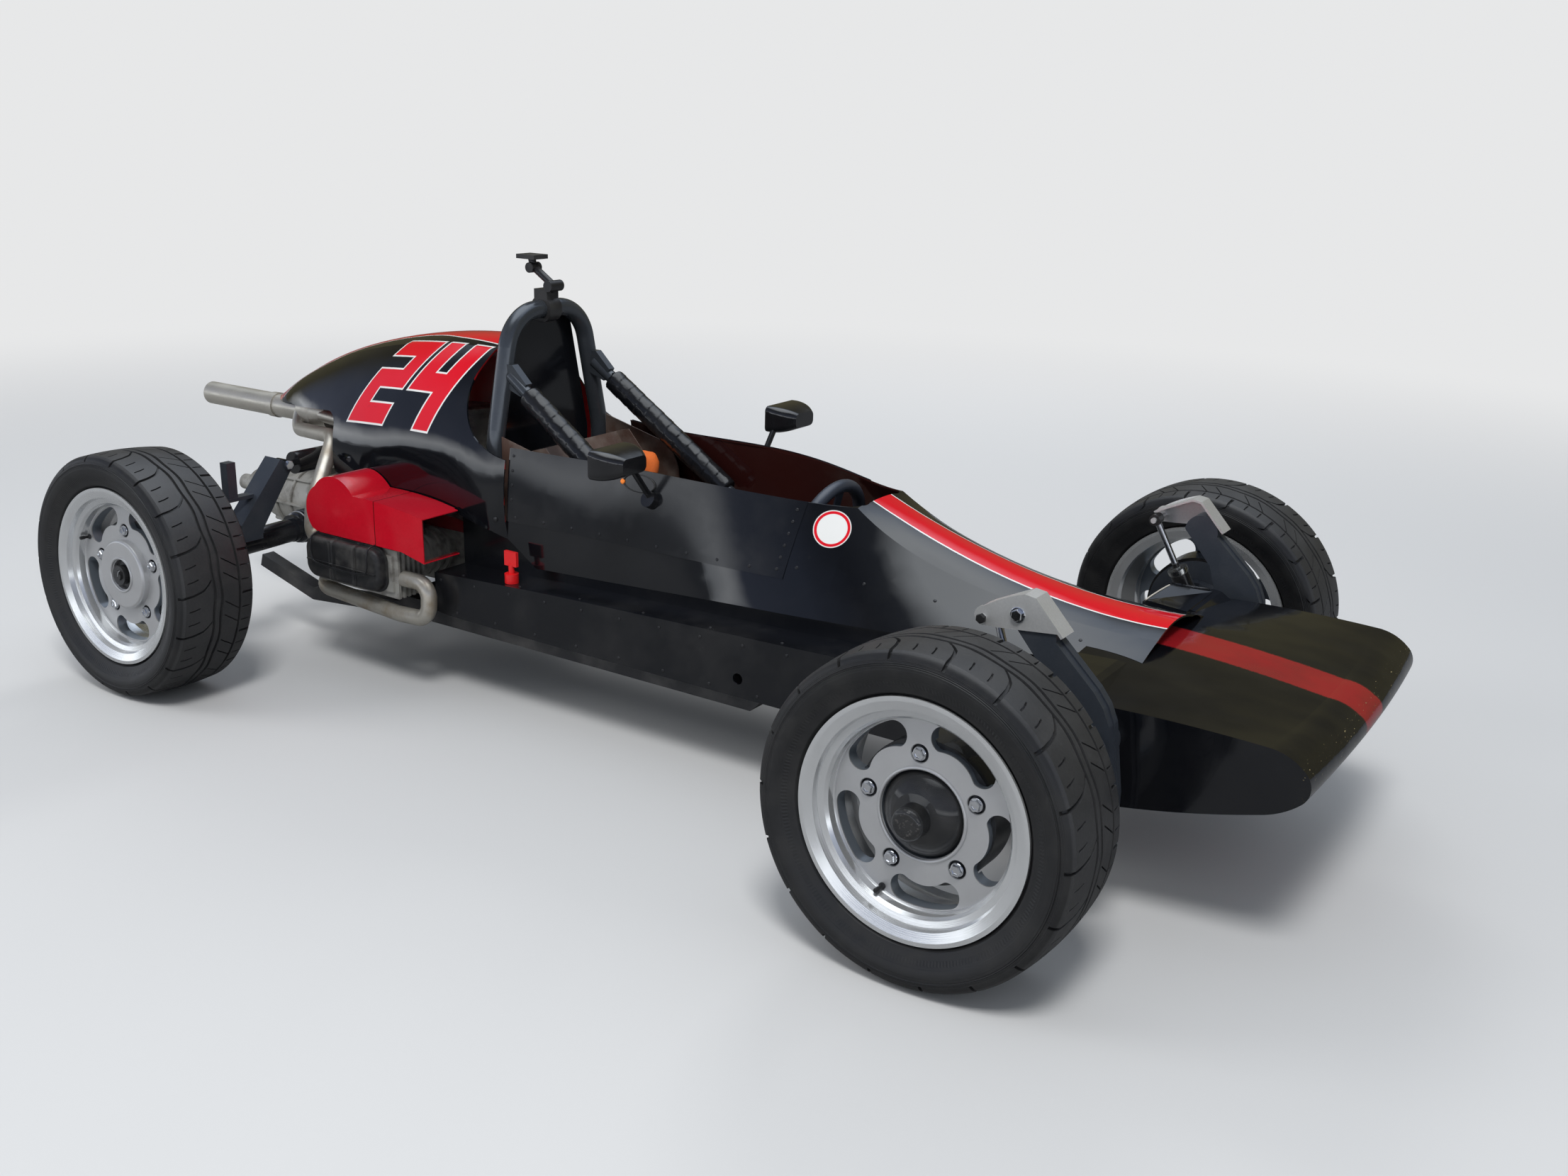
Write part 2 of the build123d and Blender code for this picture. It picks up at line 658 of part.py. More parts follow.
# Seat: a bent shell with raised sides and shoulder wings
seat_half = 186
seat_back = [(-1338, 600), (-1090, 262), ((-1062, 236), (-1020, 228)), (-690, 222), (-690, 217), (-1024, 223),
             ((-1068, 233), (-1097, 260)), (-1344, 597)]
seat = side_solid(-150, 150, *seat_back)
wing = side_solid(147, 150, (-1338, 600), (-1090, 262), ((-1062, 236), (-1020, 228)), (-690, 222),
                  (-720, 262),
                  (-960, 300), (-1060, 340), (-1180, 480), (-1300, 610))
wing += side_solid(seat_half - 3, seat_half, (-1402, 420), (-1402, 629), (-1246, 591),
                   ((-1196, 564), (-1172, 505)),
                   (-1160, 440), (-1120, 380), (-1120, 340), (-1380, 340))
wing += side_solid(147, seat_half, (-1344, 597), (-1338, 600), (-1178, 383), (-1184, 380))
seat = seat + wing + mirrored(wing)
save(seat, "seat")

# Instrument panel under the cowl
dash_x = -490
dash = front_solid(dash_x - 3, dash_x, (-174, 440), ((-140, 503), (-84, 573)), ((0, 583), (84, 573)),
                   ((140, 503), (174, 440)))
dash -= rod((-540, 0, 457), (-440, 0, 432), 24)
for y, z, r in ((-70, 532, 28), (0, 540, 34), (70, 532, 28)):
    dash += Pos(st(dash_x - 3), y, z) * (Rot(0, -90, 0) *
                                         Cylinder(r, 14, align=(Align.CENTER, Align.CENTER, Align.MIN)))
save(dash, "dash")

# Gear lever with a round knob
lever = tube([(-690, -176, 240), (-695, -176, 360), (-680, -174, 440)], [80], 7)
lever += Pos(st(-680), -174, 448) * Sphere(16)
lever += Pos(st(-690), -170, 226) * Box(60, 40, 30)
save(lever, "gear_lever")

# Door mirrors on short stems
mirror_y = 320
mirror_x = -972
mirror_z = 660
pod = loft([Pos(st(mirror_x) + reach_out, mirror_y,
                mirror_z) * (Plane.YZ * RectangleRounded(wide, tall, bend))
            for reach_out, wide, tall, bend in ((0, 126, 62, 12), (42, 118, 56, 16), (72, 76, 34, 12))])
pod -= Pos(st(mirror_x), mirror_y, mirror_z) * extrude(Plane.YZ * RectangleRounded(118, 54, 9), amount=4)
stem = rod((-950, 210, 566), (-952, 274, 646), 7)
stem += rod((-948, 190, 548), (-950, 217, 562), 18)
stem -= body_loft(-panel_gap - panel_sheet - seat_gap, 0)
save(pair(pod + stem), "mirrors")

# Battery isolator with a key on the side ledge
switch = Pos(st(-1300), -272, 319.5) * Cylinder(16, 22, align=(Align.CENTER, Align.CENTER, Align.MIN))
switch += Pos(st(-1300), -272, 340) * Cylinder(7, 24, align=(Align.CENTER, Align.CENTER, Align.MIN))
switch += Pos(st(-1300), -272, 376) * Box(36, 8, 34)
save(switch, "battery_switch")

# Engine: flat four with finned barrels and heads
crank_z = 312
engine = side_solid(-125, 125, (-1905, 230), (-1905, 400), (-1860, 420), (-1560, 420), (-1526, 380),
                    (-1526, 240),
                    (-1560, 215), (-1860, 215))
head_x = (-1870, -1588)
for side in (-1, 1):
    for x in (-1785, -1673):
        engine += rod((x, side * 120, 305), (x, side * 300, 305), 48)
        for y in (150, 178, 206, 234):
            engine += rod((x, side * y, 305), (x, side * (y + 8), 305), 57.5)
    for number in range(6):
        y = 268 + 15 * number
        engine += block(head_x[0], head_x[1], min(side * y, side * (y + 7)),
                        max(side * y, side * (y + 7)), 240, 358)
    engine += block(head_x[0] + 14, head_x[1] - 14, min(side * 260, side * 356),
                    max(side * 260, side * 356), 256, 344)
engine += block(-1760, -1620, -60, 60, 415, 540)
engine += rod((-1690, 0, 540), (-1690, 0, 640), 58)
cover_face = 356.3
save(engine, "engine_block")

cover_middle = -1747
cover_plate = Plane(origin=(st(cover_middle), cover_face, 306), x_dir=(1, 0, 0), z_dir=(0, 1, 0))
cover_body = extrude(cover_plate * RectangleRounded(266, 112, 36), amount=6)
dome = extrude(cover_plate * RectangleRounded(256, 102, 34), amount=28)
dome = fillet(dome.faces().sort_by(Axis.Y)[-1].edges(), 12)
cover_body += dome
for x in (-1786, -1698):
    cover_body -= rod((x, cover_face + 30, 240), (x, cover_face + 30, 372), 5)
cover_body += rod((-1866, cover_face + 29, 300), (-1628, cover_face + 29, 300), 1.8)
valve_covers = pair(cover_body)
save(valve_covers, "valve_covers")

# Cooling shrouds over the barrels, open at the front
duct_outline = [(-1487, 348), (-1487, 454), ((-1600, 468), (-1718, 472)), ((-1790, 508), (-1850, 476)),
                ((-1884, 430), (-1868, 372)), (-1850, 364), (-1560, 364)]
duct = side_solid(150, 362, *duct_outline)
duct_inner = [(-1480, 351), (-1480, 451), ((-1600, 465), (-1719, 469)), ((-1790, 505), (-1848, 474)),
              ((-1881, 430), (-1865, 374)), (-1850, 360), (-1560, 350)]
duct_hollow = side_solid(153, 359, *duct_inner)
duct = duct - duct_hollow
duct -= Pos(0, 0, -30) * cover_outer
duct -= cover_loft(-3, 0)
duct -= block(-1500, -1470, 150, 250, 330, 480)
duct = max(duct.solids(), key=lambda s: s.volume)
save(pair(duct), "cooling_shrouds")

# Transaxle: bell, differential, gear case and tapered end
gear_profile = [(-1905.7, 0), (-1905.7, 160), (-1925, 160), (-1990, 112), (-2030, 86), (-2196, 84),
                (-2196, 104),
                (-2212, 104), (-2212, 86), (-2400, 80), (-2528, 50), (-2528, 24), (-2600, 22), (-2600, 0)]
gearbox = Pos(0, 0, 305) * revolve(outline(*[map_side(point) for point in gear_profile]), Axis.X)
gearbox += rod((rear_x, -96, 300), (rear_x, 96, 300), 112)
save(gearbox, "transaxle")

# Swing axle tubes with boots, backing plates and spindles
rear_plate = revolve(outline((0, -60), (44, -60), (52, -46), (118, -46), (118, -43), (20, -43),
                             (spindle_radius, -38),
                             (spindle_radius, 55), (0, 55)), Axis.Y)
axle = corner(rear_plate, rear_x, rear_track)
axle += rod((rear_x, 120, 298.5), (rear_x, rear_track / 2 - 56, hub_height - 1.5), 30)
axle += Pos(st(rear_x), 96.3, 299) * revolve(outline((0, 0), (78, 0), (78, 12), (62, 18), (46, 30), (46, 40),
                                                     (40, 48), (44, 56), (40, 64), (44, 72), (40, 80),
                                                     (44, 88),
                                                     (40, 96), (40, 126), (35, 128), (35, 142),
                                                     (0, 142)), Axis.Y)
save(pair(axle), "axle_tubes")

# Rear arms: folded channels standing on the axle tubes, each with a square post beside it
arm_eye = (300, 490)
arm_face = [(286, 488), (322, 510), (449, 366), (449, 336), (387, 336), (387, 347)]
channel = front_solid(-2024, -2020, *arm_face) + front_solid(-2078, -2074, *arm_face)
channel += front_solid(-2078, -2020, (322, 510), (449, 366), (445.5, 364), (319.5, 507))
channel += block(-2134, -2020, 390, 449, 322.5, 336)
channel += rod((-2084, *arm_eye), (-2014, *arm_eye), 6)
channel += rod((-2018, *arm_eye), (-2012, *arm_eye), 11)
channel += block(-2064, -2036, 396, 466, 424, 433)
channel += block(-2062.5, -2037.5, 440, 465, 430, 520)
rear_arms = pair(channel)
save(rear_arms, "rear_arms")

# Crosswise shock absorber between the arms' eyes
shock_x = -2049
damper = rod((shock_x, -262, 486), (shock_x, 262, 486), 28)
for side in (-1, 1):
    damper += rod((shock_x, side * 258, 486), (shock_x, side * 290, 489), 8)
    damper += rod((shock_x - 12, side * arm_eye[0], arm_eye[1]),
                  (shock_x + 12, side * arm_eye[0], arm_eye[1]), 14)
    damper -= rod((shock_x - 30, side * arm_eye[0], arm_eye[1]),
                  (shock_x + 30, side * arm_eye[0], arm_eye[1]),
                  6 + seat_gap)
save(damper, "rear_shock")

# Exhaust: two pipes a side sweeping into the collector, then a straight tailpipe
bore = exhaust_radius - 2
front_pipe = tube([(-1587.7, 332, 288), (-1506, 332, 288), (-1506, 337, 203), (-1600, 340, 200),
                   (-1872, 340, 217),
                   (-1950, 200, 250), (-1955, 150, 480), (-2030, 70, 556), (-2215, 27, 552)],
                  [36, 36, 60, 60, 50, 60, 60], exhaust_radius, bore)
rear_pipe = tube([(-1870.3, 334, 338), (-1906, 334, 338), (-1915, 318, 415), (-1990, 178, 548),
                  (-2310, 34, 503),
                  (-2316, 14, 546)], [29, 70, 75, 45], exhaust_radius, bore)
tail = rod((-2190, 0, 552), (-2250, 0, 552), 47)
cone = revolve(outline((st(-2250), 0), (st(-2250), 47), (st(-2320), tailpipe_radius), (st(-2320), 0)), Axis.X)
tail += Pos(0, 0, 550.5) * cone
tail += rod((-2316, 0, 549), (-2108 - tail_overhang, 0, 549), tailpipe_radius)
tail += rod((-2420, 0, 549), (-2445, 0, 549), tailpipe_radius + 3)
tail -= rod((-2340, 0, 549), (-2800, 0, 549), tailpipe_radius - 2)
pipe = front_pipe + rear_pipe
exhaust = pipe + mirrored(pipe) + tail
save(exhaust, "exhaust")
print("done")
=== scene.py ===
import json
import math

import bpy
import bmesh
from mathutils import Matrix, Vector, noise
from mathutils.bvhtree import BVHTree


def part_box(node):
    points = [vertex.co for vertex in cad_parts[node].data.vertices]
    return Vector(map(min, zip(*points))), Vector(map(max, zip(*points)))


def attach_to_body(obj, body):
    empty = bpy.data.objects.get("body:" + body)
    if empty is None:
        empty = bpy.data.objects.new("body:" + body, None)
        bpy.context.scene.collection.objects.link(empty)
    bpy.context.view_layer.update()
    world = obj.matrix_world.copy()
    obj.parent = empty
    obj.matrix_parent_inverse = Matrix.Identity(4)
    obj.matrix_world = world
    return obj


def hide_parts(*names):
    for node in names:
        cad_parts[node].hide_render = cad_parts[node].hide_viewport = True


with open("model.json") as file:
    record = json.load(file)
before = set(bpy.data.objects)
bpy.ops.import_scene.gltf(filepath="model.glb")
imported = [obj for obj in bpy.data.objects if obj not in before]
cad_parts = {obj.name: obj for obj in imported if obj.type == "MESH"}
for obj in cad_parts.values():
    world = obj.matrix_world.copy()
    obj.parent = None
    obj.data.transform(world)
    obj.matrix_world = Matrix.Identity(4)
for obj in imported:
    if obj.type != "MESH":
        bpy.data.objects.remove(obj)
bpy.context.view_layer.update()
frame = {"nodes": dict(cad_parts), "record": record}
nodes = frame["nodes"]
print("frame loaded")

frontAxle = 1.0935
rearAxle = -1.0145
camber = math.radians(2.5)
wheelCentre = (0.665, 0.288392)  # distance from the middle and height of the wheels' centres


def car(x, y, z):
    return Vector((frontAxle + x / 1000, y / 1000, z / 1000))


def newObject(name, data):
    obj = bpy.data.objects.new(name, data)
    bpy.context.scene.collection.objects.link(obj)
    return obj


# The plain mesh that a curve or a modifier gives, in place of the object
def bakedMesh(obj):
    mesh = bpy.data.meshes.new_from_object(obj.evaluated_get(bpy.context.evaluated_depsgraph_get()))
    bpy.data.objects.remove(obj)
    return mesh


# Shared shader pieces
def newMaterial(name):
    material = bpy.data.materials.new(name)
    material.use_nodes = True
    tree = material.node_tree
    tree.nodes.clear()
    output = tree.nodes.new("ShaderNodeOutputMaterial")
    bsdf = tree.nodes.new("ShaderNodeBsdfPrincipled")
    tree.links.new(bsdf.outputs["BSDF"], output.inputs["Surface"])
    return material, tree, bsdf


def addNode(tree, kind, values=None, **props):
    node = tree.nodes.new(kind)
    for key, value in props.items():
        setattr(node, key, value)
    for key, value in (values or {}).items():
        node.inputs[key].default_value = value
    return node


# Links two sockets; a node stands for its first output or input
def link(tree, source, target):
    tree.links.new(getattr(source, "outputs", [source])[0], getattr(target, "inputs", [target])[0])


def mathNode(tree, operation, first, second=None, third=None):
    node = tree.nodes.new("ShaderNodeMath")
    node.operation = operation
    for index, value in enumerate((first, second, third)):
        if value is None:
            continue
        if isinstance(value, (int, float)):
            node.inputs[index].default_value = value
        else:
            link(tree, value, node.inputs[index])
    return node.outputs[0]


def times(tree, *values):
    return mathNode(tree, "MULTIPLY", *values)


def plus(tree, *values):
    return mathNode(tree, "ADD", *values)


def minus(tree, *values):
    return mathNode(tree, "SUBTRACT", *values)


# first times second, plus third
def timesPlus(tree, *values):
    return mathNode(tree, "MULTIPLY_ADD", *values)


def mixColor(tree, factor, first, second):
    node = tree.nodes.new("ShaderNodeMix")
    node.data_type = "RGBA"
    for socket, value in ((node.inputs[0], factor), (node.inputs[6], first), (node.inputs[7], second)):
        if isinstance(value, (int, float, tuple, list)):
            socket.default_value = value if not isinstance(value, tuple) or len(value) != 3 else (*value, 1)
        else:
            link(tree, value, socket)
    return node.outputs[2]


# A normal bent by a height, over another normal if there is one
def bent(tree, height, settings, under=None, **props):
    bump = addNode(tree, "ShaderNodeBump", settings, **props)
    link(tree, height, bump.inputs["Height"])
    if under:
        link(tree, under, bump.inputs["Normal"])
    return bump.outputs[0]


def newGroup(name, inputs, outputs):
    group = bpy.data.node_groups.new(name, "ShaderNodeTree")
    for title, kind in inputs:
        group.interface.new_socket(title, in_out="INPUT", socket_type="NodeSocket" + kind)
    for title, kind in outputs:
        group.interface.new_socket(title, in_out="OUTPUT", socket_type="NodeSocket" + kind)
    return group, group.nodes.new("NodeGroupInput"), group.nodes.new("NodeGroupOutput")


def useGroup(tree, group, **values):
    node = tree.nodes.new("ShaderNodeGroup")
    node.node_tree = group
    for key, value in values.items():
        if isinstance(value, (int, float, tuple, Vector)):
            node.inputs[key].default_value = value
        else:
            link(tree, value, node.inputs[key])
    return node.outputs


wearSettings = {
    "broad": {"Detail": 5, "Roughness": 0.6},
    "fine": {"Scale": 220, "Detail": 3},
    "dustFrom": 0.45,
    "dustTo": 0.75,
    "grain": {"Strength": 0.06, "Distance": 0.001},
}


# Dust and grime: a dust mask, a fine variation and a faint grain
def makeWearGroup():
    group, start, end = newGroup("surfaceWear", [("Scale", "Float")],
                                 [("Dust", "Float"), ("Fine", "Float"), ("Normal", "Vector")])
    coords = group.nodes.new("ShaderNodeTexCoord")
    broad = addNode(group, "ShaderNodeTexNoise", wearSettings["broad"])
    fine = addNode(group, "ShaderNodeTexNoise", wearSettings["fine"])
    link(group, coords.outputs["Object"], broad.inputs["Vector"])
    link(group, coords.outputs["Object"], fine.inputs["Vector"])
    link(group, start.outputs["Scale"], broad.inputs["Scale"])
    ramp = addNode(group, "ShaderNodeMapRange", {"From Min": wearSettings["dustFrom"],
                                                 "From Max": wearSettings["dustTo"]})
    link(group, broad.outputs["Fac"], ramp.inputs["Value"])
    link(group, ramp, end.inputs["Dust"])
    link(group, fine, end.inputs["Fine"])
    link(group, bent(group, fine, wearSettings["grain"]), end.inputs["Normal"])
    return group


waveSettings = {
    "slow": {"Scale": 7, "Detail": 1.5},
    "pits": {"Scale": 60, "Detail": 4, "Roughness": 0.7},
    "pitFrom": 0.66,
    "pitTo": 0.72,
    "bump": {"Strength": 1.0, "Distance": 0.01},
}


# Hand-laid fibreglass: slow waves that bend the reflections, and small pits
def makeWavesGroup():
    group, start, end = newGroup("laidUpWaves", [("Depth", "Float")],
                                 [("Normal", "Vector"), ("Pits", "Float")])
    coords = group.nodes.new("ShaderNodeTexCoord")
    slow = addNode(group, "ShaderNodeTexNoise", waveSettings["slow"])
    pits = addNode(group, "ShaderNodeTexNoise", waveSettings["pits"])
    link(group, coords.outputs["Object"], slow.inputs["Vector"])
    link(group, coords.outputs["Object"], pits.inputs["Vector"])
    height = times(group, slow.outputs["Fac"], start.outputs["Depth"])
    speck = addNode(group, "ShaderNodeMapRange", {"From Min": waveSettings["pitFrom"],
                                                  "From Max": waveSettings["pitTo"]})
    link(group, pits, speck)
    link(group, bent(group, height, waveSettings["bump"]), end.inputs["Normal"])
    link(group, speck, end.inputs["Pits"])
    return group


# One where a value lies between two limits, with a soft edge
def makeBandGroup():
    group, start, end = newGroup("bandMask", [(title, "Float") for title in ("Value", "Low", "High", "Soft")],
                                 [("Mask", "Float")])
    sides = []
    for first, second in (("Value", "Low"), ("High", "Value")):
        gap = minus(group, start.outputs[first], start.outputs[second])
        sides.append(plus(group, mathNode(group, "DIVIDE", gap, start.outputs["Soft"]), 0.5))
    mask = mathNode(group, "MINIMUM", *sides)
    mask.node.use_clamp = True
    link(group, mask, end.inputs["Mask"])
    return group


# Place on the car: distance from the middle plane, height, and a mask of faces that look inwards
def makePlaceGroup():
    group, start, end = newGroup("carPlace", [("Centre", "Vector")],
                                 [("X", "Float"), ("Y", "Float"), ("Z", "Float"), ("Across", "Float"),
                                  ("Inside", "Float"), ("Up", "Float")])
    coords = group.nodes.new("ShaderNodeTexCoord")
    spot = group.nodes.new("ShaderNodeSeparateXYZ")
    face = group.nodes.new("ShaderNodeSeparateXYZ")
    middle = group.nodes.new("ShaderNodeSeparateXYZ")
    link(group, coords.outputs["Object"], spot)
    link(group, coords.outputs["Normal"], face)
    link(group, start.outputs["Centre"], middle)
    across = mathNode(group, "ABSOLUTE", spot.outputs["Y"])
    sign = mathNode(group, "SIGN", spot.outputs["Y"])
    outY = times(group, face.outputs["Y"], sign)
    awayY = times(group, minus(group, across, middle.outputs["Y"]), outY)
    awayZ = minus(group, spot.outputs["Z"], middle.outputs["Z"])
    total = timesPlus(group, awayZ, face.outputs["Z"], awayY)
    inside = mathNode(group, "LESS_THAN", total, 0.0)
    for title, socket in (("X", spot.outputs["X"]), ("Y", spot.outputs["Y"]), ("Z", spot.outputs["Z"]),
                          ("Across", across), ("Inside", inside), ("Up", face.outputs["Z"])):
        link(group, socket, end.inputs[title])
    return group


# Place on a wheel: radius from its axle and distance outwards from its middle plane
def makeWheelGroup():
    group, start, end = newGroup("wheelPlace", [("Axle", "Float")],
                                 [("Radius", "Float"), ("Out", "Float"), ("Turn", "Float")])
    coords = group.nodes.new("ShaderNodeTexCoord")
    spot = group.nodes.new("ShaderNodeSeparateXYZ")
    link(group, coords.outputs["Object"], spot)
    along = minus(group, spot.outputs["X"], start.outputs["Axle"])
    across = minus(group, mathNode(group, "ABSOLUTE", spot.outputs["Y"]), wheelCentre[0])
    high = minus(group, spot.outputs["Z"], wheelCentre[1])
    out = timesPlus(group, high, math.sin(camber), times(group, across, math.cos(camber)))
    up = timesPlus(group, across, -math.sin(camber), times(group, high, math.cos(camber)))
    square = timesPlus(group, along, along, times(group, up, up))
    link(group, mathNode(group, "SQRT", square), end.inputs["Radius"])
    link(group, out, end.inputs["Out"])
    link(group, mathNode(group, "ARCTAN2", up, along), end.inputs["Turn"])
    return group


wearGroup = makeWearGroup()
wavesGroup = makeWavesGroup()
bandGroup = makeBandGroup()
placeGroup = makePlaceGroup()
wheelGroup = makeWheelGroup()


def band(tree, value, low, high, soft=0.0012):
    return useGroup(tree, bandGroup, Value=value, Low=low, High=high, Soft=soft)["Mask"]


def both(tree, first, second):
    return mathNode(tree, "MINIMUM", first, second)


def either(tree, masks):
    result = masks[0]
    for mask in masks[1:]:
        result = mathNode(tree, "MAXIMUM", result, mask)
    return result


def finish(tree, bsdf, color, worn, rough, dust=0.1, metal=0.0, coat=0.0, roughSpread=0.12,
           dustColor=(0.35, 0.33, 0.3)):
    dusty = times(tree, worn["Dust"], dust)
    link(tree, mixColor(tree, dusty, color, dustColor), bsdf.inputs["Base Color"])
    level = timesPlus(tree, worn["Dust"], roughSpread, rough)
    link(tree, level, bsdf.inputs["Roughness"])
    bsdf.inputs["Metallic"].default_value = metal
    bsdf.inputs["Coat Weight"].default_value = coat
    bsdf.inputs["Coat Roughness"].default_value = 0.03


def plainMaterial(name, color, rough, metal=0.0, coat=0.0, dust=0.12, bumpy=True, scale=8.0, spread=1.25):
    material, tree, bsdf = newMaterial(name)
    worn = useGroup(tree, wearGroup, Scale=scale)
    lighter = tuple(c * spread for c in color)
    finish(tree, bsdf, mixColor(tree, worn["Fine"], color, lighter), worn, rough, dust, metal, coat)
    if bumpy:
        link(tree, worn["Normal"], bsdf.inputs["Normal"])
    return material


# Colours of the gelcoat and its markings
paint = {
    "black": (0.0035, 0.004, 0.0055),
    "red": (0.66, 0.006, 0.016),
    "fadedRed": (0.3, 0.012, 0.016),
    "white": (0.78, 0.78, 0.76),
    "inside": (0.03, 0.007, 0.006),
    "bareFibre": (0.3, 0.24, 0.12),
}


# A red stripe on upward faces, with a white line along each edge
def stripe(tree, place, half, below, red, top=0.2, line=0.0042):
    upper = mathNode(tree, "GREATER_THAN", place["Up"], top)
    beyond = minus(tree, place["Across"], half)
    wide = both(tree, mathNode(tree, "LESS_THAN", beyond, 0.0), upper)
    inner = both(tree, mathNode(tree, "LESS_THAN", beyond, -line), upper)
    return mixColor(tree, inner, mixColor(tree, wide, below, paint["white"]), red)


gelSettings = {"pitShare": 0.25, "pitColor": (0.02, 0.02, 0.02), "dust": 0.012, "coat": 0.3,
               "roughSpread": 0.08}


# Black gelcoat over waves and pits, with its markings drawn by a function of its own
def gelcoat(name, centre, draw, rough=0.07, depth=0.35, inside=None):
    g = gelSettings
    material, tree, bsdf = newMaterial(name)
    place = useGroup(tree, placeGroup, Centre=centre)
    waves = useGroup(tree, wavesGroup, Depth=depth)
    worn = useGroup(tree, wearGroup, Scale=5.0)
    color = draw(tree, place, worn, paint["black"])
    if inside:
        color = mixColor(tree, place["Inside"], color, inside)
    pitted = times(tree, waves["Pits"], g["pitShare"])
    color = mixColor(tree, pitted, color, g["pitColor"])
    finish(tree, bsdf, color, worn, rough, dust=g["dust"], coat=g["coat"], roughSpread=g["roughSpread"])
    link(tree, waves["Normal"], bsdf.inputs["Normal"])
    return material


# Cowl: stripe with white edges, and on each side a white disc with a red ring
cowlSettings = {
    "stripeHalf": (0.0395, 0.053),
    "stripeReach": (frontAxle - 0.43, frontAxle + 0.14),
    "disc": car(-536, 133, 549),
    "discRadius": 0.0405,
    "rings": ((0.0, 1.0, "white"), (0.8, 0.95, "red")),
}


def drawCowl(tree, place, worn, color):
    low, high = cowlSettings["stripeReach"]
    widen = addNode(tree, "ShaderNodeMapRange", {"From Min": low, "From Max": high,
                                                 "To Min": cowlSettings["stripeHalf"][0],
                                                 "To Max": cowlSettings["stripeHalf"][1]})
    link(tree, place["X"], widen.inputs["Value"])
    color = stripe(tree, place, widen.outputs[0], color, paint["red"])
    spot = tree.nodes.new("ShaderNodeCombineXYZ")
    for axis, key in (("X", "X"), ("Y", "Across"), ("Z", "Z")):
        link(tree, place[key], spot.inputs[axis])
    away = addNode(tree, "ShaderNodeVectorMath", {1: cowlSettings["disc"]}, operation="DISTANCE")
    link(tree, spot, away)
    outward = minus(tree, 1.0, place["Inside"])
    for low, high, shade in cowlSettings["rings"]:
        radius = cowlSettings["discRadius"]
        ring = band(tree, away.outputs["Value"], low * radius - 0.01 * (low == 0.0), high * radius)
        color = mixColor(tree, both(tree, ring, outward), color, paint[shade])
    return color


# Nose: a worn red stripe with soft edges, and bare patches on its front edge
noseSettings = {
    "stripeHalf": 0.057,
    "ragged": 0.006,
    "fade": (-0.35, 0.95),
    "frontEdge": (frontAxle + 0.497, frontAxle + 0.54),
    "chips": {"Scale": 90, "Detail": 3},
    "chipLevel": 0.7,
}


def drawNose(tree, place, worn, color):
    n = noseSettings
    ragged = timesPlus(tree, worn["Fine"], n["ragged"], -n["ragged"] / 2)
    soft = band(tree, plus(tree, place["Across"], ragged), -1.0, n["stripeHalf"], n["ragged"])
    fade = timesPlus(tree, worn["Dust"], *n["fade"])
    color = mixColor(tree, both(tree, soft, fade), color, paint["fadedRed"])
    edge = band(tree, place["X"], *n["frontEdge"], 0.01)
    chips = addNode(tree, "ShaderNodeTexNoise", n["chips"])
    chipped = mathNode(tree, "GREATER_THAN", chips.outputs["Fac"], n["chipLevel"])
    return mixColor(tree, both(tree, edge, chipped), color, paint["bareFibre"])


# Engine cover: stripe that widens to the front and the tail, and the race number in blocks
coverSettings = {
    "number": "24",
    "middle": frontAxle - 1.697,
    "height": 0.232,
    "digitWidth": 0.136,
    "gap": 0.022,
    "stroke": 0.049,
    "lean": 0.4,
    "outline": 0.0045,
    "lowEdge": (0.232, 0.622),
    "slope": (-0.6, 0.8),
    "stripeWidths": ((0.0, 0.09), (0.2, 0.085), (0.42, 0.06), (0.58, 0.047), (0.73, 0.05), (0.85, 0.07),
                     (1.0, 0.086)),
    "stripeReach": (frontAxle - 2.4, frontAxle - 1.49),
    "tail": (frontAxle - 2.4, frontAxle - 2.3),
    "scuffs": {"Scale": 70, "Detail": 4},
    "scuffLevel": 0.66,
}
# the strokes of each digit, by their place across it and their level
digitStrokes = {
    "2": (("full", "top"), ("right", "upper"), ("full", "middle"), ("left", "lower"), ("full", "bottom")),
    "4": (("left", "upper"), ("full", "middle"), ("right", "whole")),
}


def strokeBox(digit, across, level, left):
    width, stroke, height = coverSettings["digitWidth"], coverSettings["stroke"], coverSettings["height"]
    right = left + width
    spans = {"full": (left, right), "left": (left, left + stroke), "right": (right - stroke, right)}
    half = height / 2
    levels = {"top": (height - stroke, height), "middle": (half - stroke / 2, half + stroke / 2),
              "bottom": (0, stroke), "upper": (half, height), "lower": (0, half), "whole": (0, height)}
    return spans[across] + levels[level]


